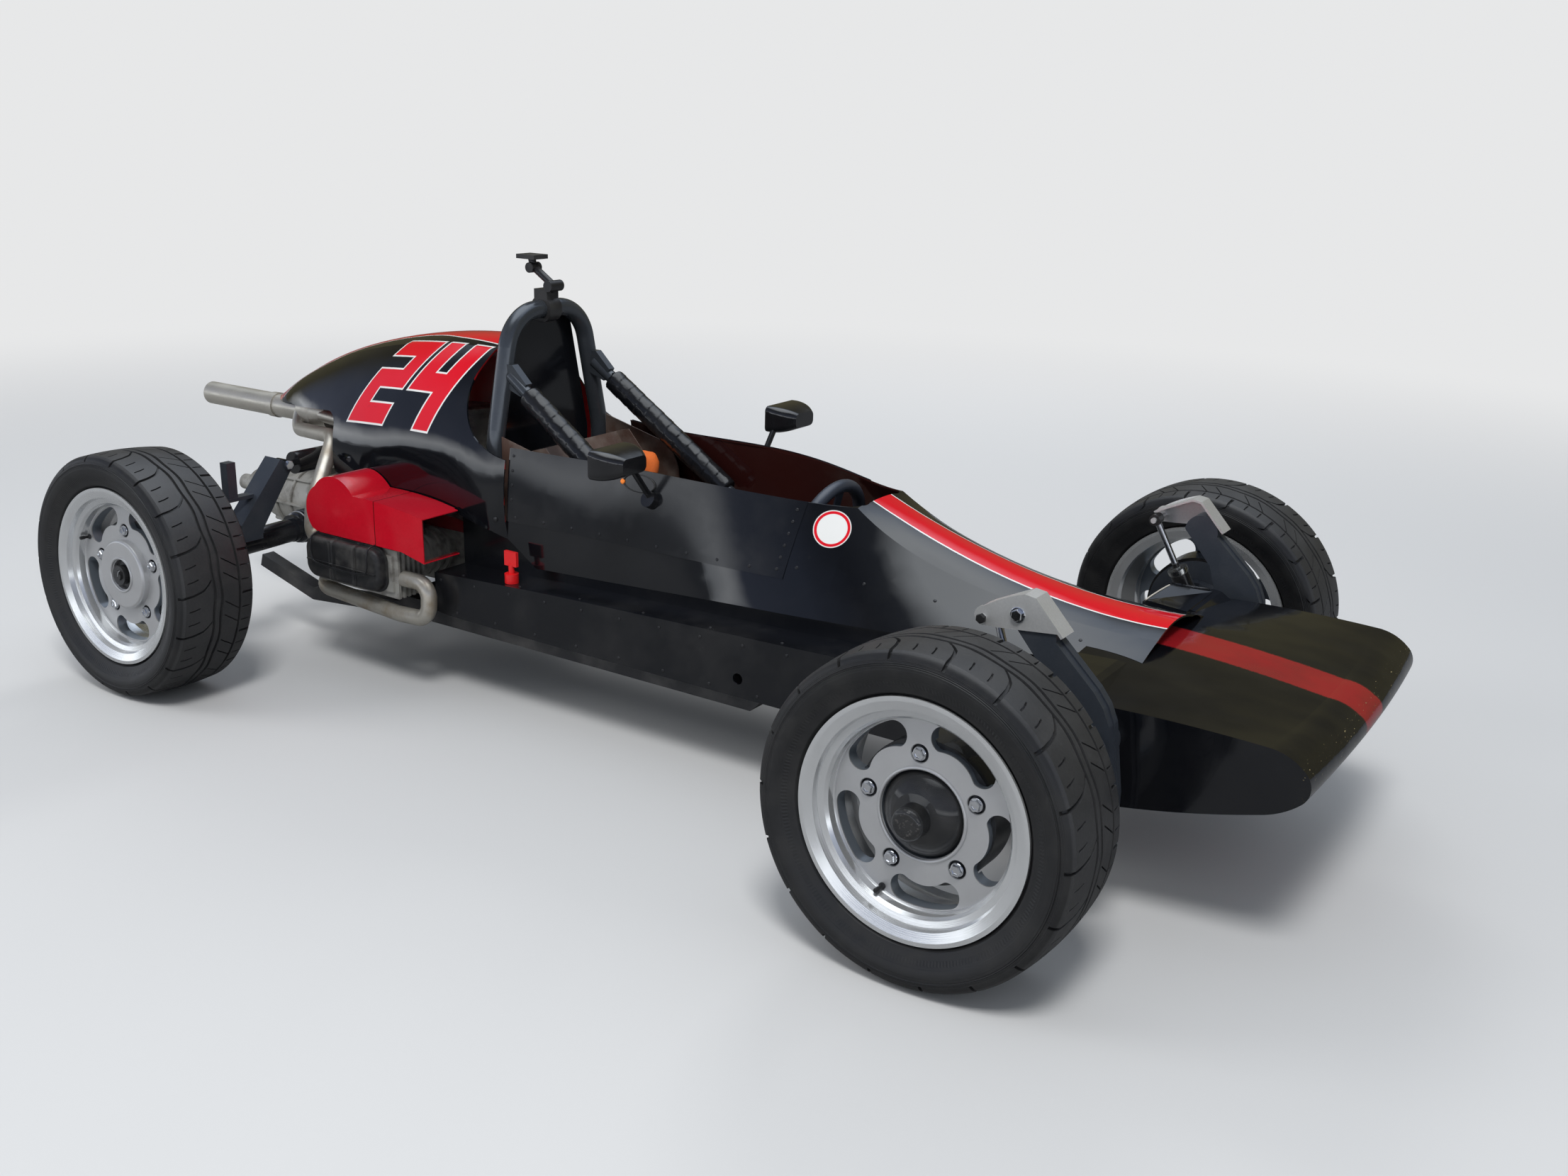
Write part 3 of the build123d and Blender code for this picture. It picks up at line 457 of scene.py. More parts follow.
def drawCover(tree, place, worn, color):
    c = coverSettings
    curveScale = 5.0  # brings half widths up to the curve's zero to one
    curve = addNode(tree, "ShaderNodeFloatCurve")
    points = curve.mapping.curves[0].points
    for index, (share, half) in enumerate(c["stripeWidths"]):
        point = points[index] if index < 2 else points.new(0.5, 0.5)
        point.location = (share, half * curveScale)
    curve.mapping.update()
    low, high = c["stripeReach"]
    along = mathNode(tree, "DIVIDE", minus(tree, place["X"], low), high - low)
    link(tree, along, curve.inputs["Value"])
    half = mathNode(tree, "DIVIDE", curve.outputs[0], curveScale)
    color = stripe(tree, place, half, color, paint["red"], top=0.5)
    outY, outZ = c["lowEdge"]
    acrossPart = times(tree, minus(tree, place["Across"], outY), c["slope"][0])
    lifted = minus(tree, place["Z"], outZ)
    up = timesPlus(tree, lifted, c["slope"][1], acrossPart)
    facing = times(tree, mathNode(tree, "SIGN", place["Y"]), -1.0)
    forward = times(tree, minus(tree, place["X"], c["middle"]), facing)
    fromMiddle = minus(tree, up, c["height"] / 2)
    reading = timesPlus(tree, fromMiddle, -c["lean"], forward)
    outward = minus(tree, 1.0, place["Inside"])
    total = len(c["number"]) * c["digitWidth"] + (len(c["number"]) - 1) * c["gap"]
    boxes = []
    for index, digit in enumerate(c["number"]):
        left = index * (c["digitWidth"] + c["gap"]) - total / 2
        boxes += [strokeBox(digit, across, level, left) for across, level in digitStrokes[digit]]
    for grow, shade in ((c["outline"], "white"), (0.0, "red")):
        masks = []
        for left, right, low, high in boxes:
            masks.append(both(tree, band(tree, reading, left - grow, right + grow),
                              band(tree, up, low - grow, high + grow)))
        color = mixColor(tree, both(tree, either(tree, masks), outward), color, paint[shade])
    tail = band(tree, place["X"], *c["tail"], 0.03)
    scuffs = addNode(tree, "ShaderNodeTexNoise", c["scuffs"])
    scuffed = mathNode(tree, "GREATER_THAN", scuffs.outputs["Fac"], c["scuffLevel"])
    return mixColor(tree, both(tree, tail, scuffed), color, paint["bareFibre"])


# Wheels: turned face, satin slot walls, polished barrel, and a painted shade ring round each bolt
wheelSettings = {
    "face": (0.0375, 0.08),
    "discRadius": 0.163,
    "slotWall": (0.3, 0.34, 0.39),
    "satin": (0.6, 0.6, 0.6),
    "polished": (0.76, 0.77, 0.77),
    # dark ring round each bolt: radii and colour of painted shade in the bolts' recesses
    "lugShadeRing": (0.011, 0.0152),
    "lugShadeColor": (0.05, 0.05, 0.055),
    "turning": {"Scale": 900, "Detail": 2},
    "turningDepth": {"Strength": 0.12, "Distance": 0.0006},
    "rough": (0.17, 0.2, 0.08),
    "dust": 0.08,
    "dustColor": (0.12, 0.1, 0.08),
    "metal": 0.75,
    "lugs": 5,
    "lugCircle": 0.1025,
    "firstLug": {"front": 97, "rear": 92},
}


# Distance from the nearest of the wheel's bolts
def lugDistance(tree, place, firstLug):
    step = 2 * math.pi / wheelSettings["lugs"]
    # whole turns back, so that no turn is negative
    first = math.radians(firstLug) - 4 * wheelSettings["lugs"] * step
    turns = mathNode(tree, "DIVIDE", minus(tree, place["Turn"], first), step)
    off = minus(tree, mathNode(tree, "FRACT", plus(tree, turns, 0.5)), 0.5)
    angle = times(tree, off, step)
    across = times(tree, place["Radius"], mathNode(tree, "SINE", angle))
    reach = times(tree, place["Radius"], mathNode(tree, "COSINE", angle))
    along = minus(tree, reach, wheelSettings["lugCircle"])
    square = timesPlus(tree, across, across, times(tree, along, along))
    return mathNode(tree, "SQRT", square)


def wheelMaterial(name, axle, firstLug):
    material, tree, bsdf = newMaterial(name)
    w = wheelSettings
    place = useGroup(tree, wheelGroup, Axle=axle)
    worn = useGroup(tree, wearGroup, Scale=14.0)
    low, high = w["face"]
    disc = band(tree, place["Radius"], -1.0, w["discRadius"], 0.002)
    face = both(tree, disc, band(tree, place["Out"], low, high))
    wall = both(tree, disc, band(tree, place["Out"], -0.2, low))
    color = mixColor(tree, face, w["polished"], w["satin"])
    color = mixColor(tree, wall, color, w["slotWall"])
    # painted shade: a darker ring round each bolt where its recess lies
    lugShadeRing = both(tree, band(tree, lugDistance(tree, place, firstLug), *w["lugShadeRing"], 0.0008), disc)
    color = mixColor(tree, lugShadeRing, color, w["lugShadeColor"])
    rings = addNode(tree, "ShaderNodeTexNoise", w["turning"], noise_dimensions="1D")
    link(tree, place["Radius"], rings.inputs["W"])
    link(tree, bent(tree, rings, w["turningDepth"]), bsdf.inputs["Normal"])
    rough, satinRough, ringRough = w["rough"]
    rough = timesPlus(tree, either(tree, [face, wall]), satinRough, rough)
    rough = timesPlus(tree, rings.outputs["Fac"], ringRough, rough)
    dusty = times(tree, worn["Dust"], w["dust"])
    link(tree, mixColor(tree, dusty, color, w["dustColor"]), bsdf.inputs["Base Color"])
    link(tree, rough, bsdf.inputs["Roughness"])
    bsdf.inputs["Metallic"].default_value = w["metal"]
    return material


# Rubber: scrubbed tread, and fine rings, a ribbed belt and a raised band on the side
rubberSettings = {
    "treadRadius": 0.2795,
    "side": (0.011, 0.011, 0.0115),
    "tread": (0.019, 0.019, 0.02),
    "scrubbed": (0.034, 0.034, 0.035),
    "dustColor": (0.16, 0.15, 0.13),
    "rings": (0.262, 0.271),
    "ringPitch": 2600.0,
    "ribbedBelt": (0.2265, 0.2345),
    "ribs": 240.0,
    "raisedBand": (0.2395, 0.2545),
    "relief": {"Strength": 0.35, "Distance": 0.0006},
}


def tyreMaterial(name, axle):
    material, tree, bsdf = newMaterial(name)
    r = rubberSettings
    place = useGroup(tree, wheelGroup, Axle=axle)
    worn = useGroup(tree, wearGroup, Scale=18.0)
    tread = band(tree, place["Radius"], r["treadRadius"], 0.4, 0.003)
    color = mixColor(tree, tread, r["side"], r["tread"])
    scrub = both(tree, tread, worn["Fine"])
    color = mixColor(tree, scrub, color, r["scrubbed"])
    finish(tree, bsdf, color, worn, 0.45, dust=0.07, roughSpread=0.15, dustColor=r["dustColor"])
    rings = mathNode(tree, "SINE", times(tree, place["Radius"], r["ringPitch"]))
    side = times(tree, rings, band(tree, place["Radius"], *r["rings"], 0.002))
    ribs = mathNode(tree, "SINE", times(tree, place["Turn"], r["ribs"]))
    belt = times(tree, ribs, band(tree, place["Radius"], *r["ribbedBelt"], 0.001))
    raised = plus(tree, belt, band(tree, place["Radius"], *r["raisedBand"], 0.001))
    side = plus(tree, side, raised)
    relief = bent(tree, plus(tree, side, worn["Fine"]), r["relief"])
    link(tree, relief, bsdf.inputs["Normal"])
    return material


# Brake drums: gloss black, pebbled, with a bare worn end on the front hub
drumSettings = {
    "black": (0.008, 0.008, 0.008),
    "bare": (0.16, 0.15, 0.14),
    "bareFrom": 0.0925,
    "bareLevel": 0.6,
    "pebbles": {"Scale": 160, "Detail": 3},
    "pebbleDepth": {"Strength": 0.55, "Distance": 0.002},
}


def drumMaterial(name, axle):
    material, tree, bsdf = newMaterial(name)
    d = drumSettings
    place = useGroup(tree, wheelGroup, Axle=axle)
    worn = useGroup(tree, wearGroup, Scale=30.0)
    rubbed = mathNode(tree, "GREATER_THAN", worn["Fine"], d["bareLevel"])
    end = both(tree, band(tree, place["Out"], d["bareFrom"], 0.2, 0.002), rubbed)
    color = mixColor(tree, end, d["black"], d["bare"])
    finish(tree, bsdf, color, worn, 0.16, dust=0.04, coat=0.5)
    link(tree, end, bsdf.inputs["Metallic"])
    pebble = addNode(tree, "ShaderNodeTexNoise", d["pebbles"])
    link(tree, bent(tree, pebble, d["pebbleDepth"]), bsdf.inputs["Normal"])
    return material


# A look that changes along a line between two points, the same on both sides of the car
def zonedMaterial(name, start, end, zones, rough=0.25):
    material, tree, bsdf = newMaterial(name)
    place = useGroup(tree, placeGroup, Centre=(0, 0, 0))
    worn = useGroup(tree, wearGroup, Scale=20.0)
    spot = tree.nodes.new("ShaderNodeCombineXYZ")
    for axis, key in (("X", "X"), ("Y", "Across"), ("Z", "Z")):
        link(tree, place[key], spot.inputs[axis])
    away = addNode(tree, "ShaderNodeVectorMath", {1: start}, operation="SUBTRACT")
    link(tree, spot, away)
    lean = (end - start) / (end - start).length_squared
    share = addNode(tree, "ShaderNodeVectorMath", {1: lean}, operation="DOT_PRODUCT")
    link(tree, away, share)
    color = zones[0][2]
    shine = 0.0
    for low, high, shade, metal in zones:
        zone = band(tree, share.outputs["Value"], low, high, 0.01)
        color = mixColor(tree, zone, color, shade)
        if metal:
            shine = zone if shine == 0.0 else either(tree, [shine, zone])
    finish(tree, bsdf, color, worn, rough, dust=0.06)
    link(tree, shine, bsdf.inputs["Metallic"])
    return material


# Cooling shroud: gloss red, with painted shade darkening its inward faces, and a joint line down its flank
shroudSettings = {
    "middle": (0, 0.31, 0.41),
    "reds": ((0.46, 0.004, 0.014), (0.58, 0.008, 0.022)),
    "seam": (frontAxle - 1.648, frontAxle - 1.6455),
    "seamColor": (0.08, 0.004, 0.004),
    # the inward faces' darker red is painted shade, not a colour of the plastic
    "inside": (0.14, 0.005, 0.008),
}


def shroudMaterial():
    material, tree, bsdf = newMaterial("redShroud")
    place = useGroup(tree, placeGroup, Centre=shroudSettings["middle"])
    worn = useGroup(tree, wearGroup, Scale=9.0)
    color = mixColor(tree, worn["Fine"], *shroudSettings["reds"])
    seam = band(tree, place["X"], *shroudSettings["seam"], 0.0008)
    color = mixColor(tree, seam, color, shroudSettings["seamColor"])
    # inward faces darkened: painted shade
    color = mixColor(tree, place["Inside"], color, shroudSettings["inside"])
    finish(tree, bsdf, color, worn, 0.12, dust=0.03, coat=0.6)
    waves = useGroup(tree, wavesGroup, Depth=0.3)
    link(tree, waves["Normal"], bsdf.inputs["Normal"])
    return material


# Exhaust: pale coated steel, straw and brown near the heads
exhaustSettings = {
    "pale": (0.62, 0.59, 0.52),
    "straw": (0.4, 0.3, 0.18),
    "brown": (0.28, 0.25, 0.21),
    "hot": (frontAxle - 1.98, frontAxle - 1.4),
}


def exhaustMaterial():
    material, tree, bsdf = newMaterial("exhaustSteel")
    place = useGroup(tree, placeGroup, Centre=(0, 0, 0))
    worn = useGroup(tree, wearGroup, Scale=16.0)
    hot = times(tree, band(tree, place["X"], *exhaustSettings["hot"], 0.2), worn["Dust"])
    color = mixColor(tree, hot, exhaustSettings["pale"], exhaustSettings["straw"])
    speckled = times(tree, worn["Fine"], 0.3)
    color = mixColor(tree, speckled, color, exhaustSettings["brown"])
    finish(tree, bsdf, color, worn, 0.36, dust=0.12, metal=0.75, roughSpread=0.2)
    link(tree, worn["Normal"], bsdf.inputs["Normal"])
    return material


# Rough castings: grain, patches of oil, and grooves across where the piece has them
castSettings = {
    "grain": {"Scale": 320, "Detail": 4, "Roughness": 0.7},
    "grainDepth": {"Strength": 0.5, "Distance": 0.0008},
    "grooveHalf": 0.004,
    "grooveSoft": 0.012,
    "grooveDepth": {"Strength": 1.0, "Distance": 0.006},
}


def castMaterial(name, pale, stained, metal=0.7, grooves=()):
    material, tree, bsdf = newMaterial(name)
    c = castSettings
    worn = useGroup(tree, wearGroup, Scale=22.0)
    grain = addNode(tree, "ShaderNodeTexNoise", c["grain"])
    color = mixColor(tree, worn["Dust"], pale, stained)
    finish(tree, bsdf, color, worn, 0.42, dust=0.1, metal=metal, roughSpread=0.25)
    normal = bent(tree, grain, c["grainDepth"])
    if grooves:
        place = useGroup(tree, placeGroup, Centre=(0, 0, 0))
        half, soft = c["grooveHalf"], c["grooveSoft"]
        cuts = either(tree, [band(tree, place["X"], x - half, x + half, soft) for x in grooves])
        normal = bent(tree, cuts, c["grooveDepth"], normal, invert=True)
    link(tree, normal, bsdf.inputs["Normal"])
    return material


# Fibreglass seat: brown and grey, with the weave of the cloth in its surface
seatSettings = {
    "brown": (0.085, 0.05, 0.038),
    "grey": (0.16, 0.13, 0.11),
    "weave": {"Scale": 180.0},
    "weaveDepth": {"Strength": 0.3, "Distance": 0.0008},
}


def seatMaterial():
    material, tree, bsdf = newMaterial("seatShell")
    worn = useGroup(tree, wearGroup, Scale=12.0)
    color = mixColor(tree, worn["Dust"], seatSettings["brown"], seatSettings["grey"])
    finish(tree, bsdf, color, worn, 0.45, dust=0.1)
    coords = tree.nodes.new("ShaderNodeTexCoord")
    weave = addNode(tree, "ShaderNodeTexChecker", seatSettings["weave"])
    link(tree, coords.outputs["Object"], weave.inputs["Vector"])
    normal = bent(tree, weave.outputs["Fac"], seatSettings["weaveDepth"])
    link(tree, normal, bsdf.inputs["Normal"])
    return material


# For gelcoat without markings
def drawPlain(tree, place, worn, color):
    return color


# Front damper from its top eye to its foot: start and end share, colour, bare metal or not
damperSettings = {
    "top": car(-41, 392, 545),
    "foot": car(86, 452, 268),
    "zones": (
        (-0.2, 0.04, (0.012, 0.012, 0.012), False),
        (0.04, 0.345, (0.62, 0.63, 0.65), True),
        (0.345, 0.38, (0.008, 0.008, 0.008), False),
        (0.38, 0.425, (0.5, 0.5, 0.48), True),
        (0.425, 1.3, (0.009, 0.009, 0.01), False),
    ),
}
# One look for each of the record's finishes, and then those that single nodes have of their own
materials = {
    "black_gelcoat": gelcoat("blackGelcoat", (0, 0, 0.35), drawPlain),
    "painted_sheet": plainMaterial("blackSheet", (0.005, 0.0055, 0.007), 0.14, dust=0.02, bumpy=False),
    "bare_aluminium": plainMaterial("bareAluminium", (0.6, 0.6, 0.59), 0.3, metal=0.6, dust=0.1, scale=20.0),
    "wheel_alloy": plainMaterial("wheelAlloy", (0.66, 0.67, 0.68), 0.28, metal=0.95, dust=0.1),
    "tyre": plainMaterial("tyreRubber", (0.02, 0.02, 0.021), 0.5, dust=0.1),
    "drum_iron": plainMaterial("drumBlack", (0.012, 0.012, 0.012), 0.22, dust=0.03, coat=0.4),
    "grey_suspension": plainMaterial("greyArm", (0.05, 0.058, 0.072), 0.34, metal=0.5, dust=0.08),
    "steel": plainMaterial("plainSteel", (0.4, 0.4, 0.4), 0.3, metal=1.0, dust=0.06),
    "hoop_paint": plainMaterial("hoopPaint", (0.055, 0.062, 0.072), 0.2, metal=0.5, dust=0.05, bumpy=False),
    "padding": plainMaterial("rimGrip", (0.03, 0.036, 0.05), 0.32, dust=0.05),
    "red_plastic": shroudMaterial(),
    "cast_case": castMaterial("castCase", (0.36, 0.35, 0.32), (0.08, 0.07, 0.06), metal=0.4),
    "exhaust_steel": exhaustMaterial(),
    "black_plastic": plainMaterial("blackPlastic", (0.008, 0.008, 0.009), 0.14, coat=0.3, dust=0.03,
                                   bumpy=False),
    "seat_shell": seatMaterial(),
}
ownMaterials = {
    "body_shell": gelcoat("cowlPaint", (0, 0, 0.35), drawCowl, inside=paint["inside"]),
    "nose": gelcoat("nosePaint", (0, 0, 0.3), drawNose, rough=0.1, depth=0.5),
    "engine_cover": gelcoat("coverPaint", (0, 0, 0.5), drawCover, inside=(0.3, 0.008, 0.01)),
    "frame_tub": plainMaterial("tubSheet", (0.005, 0.0055, 0.007), 0.18, dust=0.03, bumpy=False),
    "front_shocks": zonedMaterial("damperMetal", damperSettings["top"], damperSettings["foot"],
                                  damperSettings["zones"]),
    "battery_switch": plainMaterial("switchRed", (0.6, 0.01, 0.012), 0.3, dust=0.02),
    "valve_covers": castMaterial("coverBlack", (0.012, 0.012, 0.013), (0.03, 0.028, 0.026), metal=0.0,
                                 grooves=(frontAxle - 1.775, frontAxle - 1.7)),
    "belly_frame": plainMaterial("railBlack", (0.02, 0.02, 0.022), 0.4, dust=0.2),
    "axle_tubes": plainMaterial("axleBlack", (0.012, 0.013, 0.016), 0.2, coat=0.4, dust=0.06),
    "camera_mount": plainMaterial("mountBlack", (0.012, 0.012, 0.013), 0.35, dust=0.08),
}
for end, x in (("front", frontAxle), ("rear", rearAxle)):
    looks = {
        "tyre": tyreMaterial("tyreRubber." + end, x),
        "wheel": wheelMaterial("turnedAlloy." + end, x, wheelSettings["firstLug"][end]),
        "drum": drumMaterial("pebbledBlack." + end, x),
    }
    for side in ("left", "right"):
        for kind, look in looks.items():
            ownMaterials[kind + "_" + end + "_" + side] = look
for part in frame["record"]["subparts"]:
    node = nodes[part["node"]]
    node.data.materials.clear()
    node.data.materials.append(ownMaterials.get(part["node"], materials[part["material_slot"]]))
print("materials set")

# Tyres: one tread pitch as a mesh, repeated round the axle by a node group. Its section is in millimetres, as
# radius and width, and its columns are shares of the pitch
tyreSettings = {
    "pitches": 18,
    "grooveDepth": 0.0058,
    "sipeDepth": 0.0042,
    "sipeExtra": 0.0008,
    "rings": ((13, 19), (-5, 1), (-55, -50)),
    "lateral": (0.0, 0.05),
    "lateralWidths": (19, -60),
    "sipes": ((0.327, 0.345), (0.66, 0.678)),
    "sipeWidths": ((52, 78), (-78, -60)),
    "deepSipes": (-50, -12),
    "plain": (0.09, 0.18),
    "afterSipe": (0.11, 0.21),
    "edge": 0.008,
    "shift": ((92, 0.0), (60, 0.9), (40, 2.4), (30, 4.2), (20, 6.6), (-50, -2.5), (-92, -2.5)),
    "wave": 1.8,
    "waveWidths": (-8, 22),
    "crown": (288, 1400),
    "side": ((190.5, 74), (208.5, 75.8), (211, 80), (214, 84.5), (218, 86.5), (223, 87.5), (232, 93),
             (242, 97.5), (252, 100), (259, 100.3), (260, 99.2), (262, 99.6), (263, 98.2), (265, 98.4),
             (266, 97.6), (269, 97.4)),
    "shoulder": ((275, 94.6), (279, 91)),
    "shoulderLean": 40,
    "middle": (86, 80, 78.8, 78, 65, 52, 51.2, 40, 30, 24, 19.8, 19, 13, 12.2, 7, 1.8, 1, -5, -5.8, -11.2,
               -12, -22, -32, -40, -49.2, -50, -55, -55.8, -59.2, -60, -70, -78, -86),
    "liner": ((190.5, -58), (205, -62), (232, -86), (252, -91), (266, -87), (272, -78), (276, 0), (272, 78),
              (266, 87), (252, 91), (232, 86), (205, 62), (190.5, 58)),
}


def plainMesh(name, points, faces):
    mesh = bpy.data.meshes.new(name)
    mesh.from_pydata([tuple(point) for point in points], [], faces)
    return mesh


# Faces that join two neighbouring loops of points in a grid, closed along each loop
def loopFaces(first, second, count):
    return [(first + k, first + (k + 1) % count, second + (k + 1) % count, second + k) for k in range(count)]


def interpolate(table, value):
    for (a, fa), (b, fb) in zip(table, table[1:]):
        if a >= value >= b:
            return fa + (fb - fa) * (a - value) / (a - b)
    return table[0][1] if value > table[0][0] else table[-1][1]


def tyreRows():
    side, shoulder = tyreSettings["side"], tyreSettings["shoulder"]
    top, bend = tyreSettings["crown"]
    rows = [(r, w, "side") for r, w in side] + [(r, w, "shoulder") for r, w in shoulder]
    rows += [(top - w * w / bend, w, "tread") for w in tyreSettings["middle"]]
    rows += [(r, -w, "shoulder") for r, w in reversed(shoulder)]
    rows += [(r, -w, "side") for r, w in reversed(side)]
    return rows + [(r, w, "liner") for r, w in tyreSettings["liner"]]


def grooveDepth(column, w, zone):
    if zone not in ("tread", "shoulder"):
        return 0.0
    t = tyreSettings
    if any(low <= w <= high for low, high in t["rings"]):
        return t["grooveDepth"]
    if column == "lateral" and (w >= t["lateralWidths"][0] or w <= t["lateralWidths"][1]):
        return t["grooveDepth"]
    if column == "sipe" and any(low <= w <= high for low, high in t["sipeWidths"]):
        return t["sipeDepth"]
    if column == "sipe" and t["deepSipes"][0] <= w <= t["deepSipes"][1]:
        return t["sipeDepth"] + t["sipeExtra"]
    return 0.0


def pitchMesh(name):
    rows = tyreRows()
    start, end = tyreSettings["lateral"]
    edge = tyreSettings["edge"]
    columns = [(-edge, ""), (start, "lateral"), (end, "lateral"), (end + edge, "")]
    columns += [(end + share, "") for share in tyreSettings["plain"]]
    for low, high in tyreSettings["sipes"]:
        middle = (low + high) / 2
        columns += [(low - edge, ""), (low, "sipe"), (high, "sipe"), (high + edge, "")]
        columns += [(middle + share, "") for share in tyreSettings["afterSipe"]]
    columns.append((1 - edge, ""))
    pitch = 2 * math.pi / tyreSettings["pitches"]
    inner, outermost = tyreSettings["waveWidths"]
    points = []
    for u, column in columns:
        for r, w, zone in rows:
            depth = grooveDepth(column, w, zone) * 1000
            wave = 0.0
            if zone == "tread" and inner < w < outermost:
                fade = min(1, (outermost - w) / 3, (w - inner) / 2)
                wave = tyreSettings["wave"] * math.sin(2 * math.pi * u) * fade
            outer = zone in ("tread", "shoulder")
            turn = u * pitch + math.radians(interpolate(tyreSettings["shift"], w) if outer else 0)
            lean = 0.0
            if zone == "shoulder":
                lean = math.radians(tyreSettings["shoulderLean"]) * (1 if w > 0 else -1)
            radius = (r - depth * math.cos(lean)) / 1000
            width = (w + wave - depth * math.sin(lean)) / 1000
            points.append((radius * math.cos(turn), width, radius * math.sin(turn)))
    faces = []
    count = len(rows)
    for i in range(len(columns) - 1):
        faces += loopFaces(i * count, (i + 1) * count, count)
    mesh = plainMesh(name, points, faces)
    mesh.validate()
    return mesh


def newGeometryGroup(name, inputs):
    group = bpy.data.node_groups.new(name, "GeometryNodeTree")
    for title, kind in (("Geometry", "Geometry"), *inputs, ("Material", "Material")):
        group.interface.new_socket(title, in_out="INPUT", socket_type="NodeSocket" + kind)
    group.interface.new_socket("Geometry", in_out="OUTPUT", socket_type="NodeSocketGeometry")
    return group


# Runs a mesh through a node group and gives the result as a plain mesh
def grown(name, mesh, group, **values):
    seed = newObject(name + "Seed", mesh)
    modifier = seed.modifiers.new(group.name, "NODES")
    modifier.node_group = group
    keys = {item.name: item.identifier for item in group.interface.items_tree if item.in_out == "INPUT"}
    for title, value in values.items():
        modifier[keys[title]] = value
    return bakedMesh(seed)


# Copies of a mesh at even turns round the Y axis, welded where they meet
def makeRepeatGroup():
    group = newGeometryGroup("repeatRound", (("Count", "Int"), ("Weld", "Float")))
    start = group.nodes.new("NodeGroupInput")
    end = group.nodes.new("NodeGroupOutput")
    points = group.nodes.new("GeometryNodePoints")
    index = group.nodes.new("GeometryNodeInputIndex")
    share = addNode(group, "ShaderNodeMath", operation="DIVIDE")
    turn = addNode(group, "ShaderNodeMath", {1: 2 * math.pi}, operation="MULTIPLY")
    combine = group.nodes.new("ShaderNodeCombineXYZ")
    place = group.nodes.new("GeometryNodeInstanceOnPoints")
    realize = group.nodes.new("GeometryNodeRealizeInstances")
    merge = group.nodes.new("GeometryNodeMergeByDistance")
    coat = group.nodes.new("GeometryNodeSetMaterial")
    link(group, start.outputs["Count"], points.inputs["Count"])
    link(group, start.outputs["Weld"], merge.inputs["Distance"])
    link(group, index, share)
    link(group, start.outputs["Count"], share.inputs[1])
    link(group, share, turn)
    link(group, turn, combine.inputs["Y"])
    link(group, points, place.inputs["Points"])
    link(group, start.outputs["Geometry"], place.inputs["Instance"])
    link(group, combine, place.inputs["Rotation"])
    link(group, place, realize)
    link(group, realize, merge)
    link(group, merge, coat.inputs["Geometry"])
    link(group, start.outputs["Material"], coat.inputs["Material"])
    link(group, coat, end)
    return group


repeatGroup = makeRepeatGroup()
weldDistance = 0.00005


def repeatRound(name, mesh, count, material):
    return grown(name, mesh, repeatGroup, Count=count, Weld=weldDistance, Material=material)


# Wheel places: axle centre and the lean of the wheel, mirrored for the right side
wheelPlaces = {}
for end, x in (("front", frontAxle), ("rear", rearAxle)):
    left = Matrix.Translation((x, *wheelCentre)) @ Matrix.Rotation(camber, 4, "X")
    wheelPlaces[end + "_left"] = left
    wheelPlaces[end + "_right"] = Matrix.Diagonal((1, -1, 1, 1)) @ left


# A copy of a mesh moved to its place on the car, as an object at the origin
def placed(name, mesh, matrix=Matrix.Identity(4), material=None, smooth=30):
    mesh = mesh.copy()
    mesh.transform(matrix)
    if matrix.determinant() < 0:
        mesh.flip_normals()
    if material:
        mesh.materials.clear()
        mesh.materials.append(material)
    mesh.shade_smooth()
    mesh.set_sharp_from_angle(angle=math.radians(smooth))
    return newObject(name, mesh)


def attach(obj, body):
    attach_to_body(obj, body)
    return obj


tyreMesh = repeatRound("tyre", pitchMesh("tyrePitch"), tyreSettings["pitches"], materials["tyre"])
for key, matrix in wheelPlaces.items():
    tyre = placed("treadedTyre." + key, tyreMesh, matrix, ownMaterials["tyre_" + key], 28)
    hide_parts("tyre_" + key)
    attach(tyre, "wheel_" + key)
print("tyres made", len(tyreMesh.polygons))


# Fastener heads, turned or six-sided, spread over points by a node group
def turnedHead(name, profile, sides=12):
    angles = [2 * math.pi * i / sides for i in range(sides)]
    points = [(r * math.cos(a), r * math.sin(a), z) for r, z in profile for a in angles]
    faces = []
    for low in range(0, len(points) - sides, sides):
        faces += loopFaces(low, low + sides, sides)
    faces.append(list(range(len(points) - sides, len(points))))
    faces.append(list(reversed(range(sides))))
    mesh = plainMesh(name, points, faces)
    mesh.validate()
    return mesh


# profile as radius and height, and number of sides
headSettings = {
    "rivet": (((0.0036, -0.0006), (0.0036, 0.0004), (0.003, 0.0012), (0.0016, 0.0017)), 10),
    "button": (((0.0062, -0.001), (0.0062, 0.0012), (0.0052, 0.003), (0.0026, 0.0038)), 12),
    "hex": (((0.0078, -0.001), (0.0078, 0.0045), (0.0066, 0.0056), (0.003, 0.0056)), 6),
    "washer": (((0.011, -0.0004), (0.011, 0.0012), (0.0102, 0.0016), (0.006, 0.0016)), 18),
    "lugHead": (((0.0106, 0.0), (0.0106, 0.0095), (0.0092, 0.0115), (0.0058, 0.0115), (0.0052, 0.0095),
                 (0.001, 0.0095)), 6),
    "lugCollar": (((0.0118, -0.002), (0.0118, 0.004), (0.011, 0.005), (0.008, 0.005)), 24),
    "valve": (((0.0062, -0.001), (0.0062, 0.003), (0.0034, 0.005), (0.003, 0.014), (0.0042, 0.0145),
               (0.0042, 0.024), (0.0032, 0.0256), (0.001, 0.0256)), 14),
}


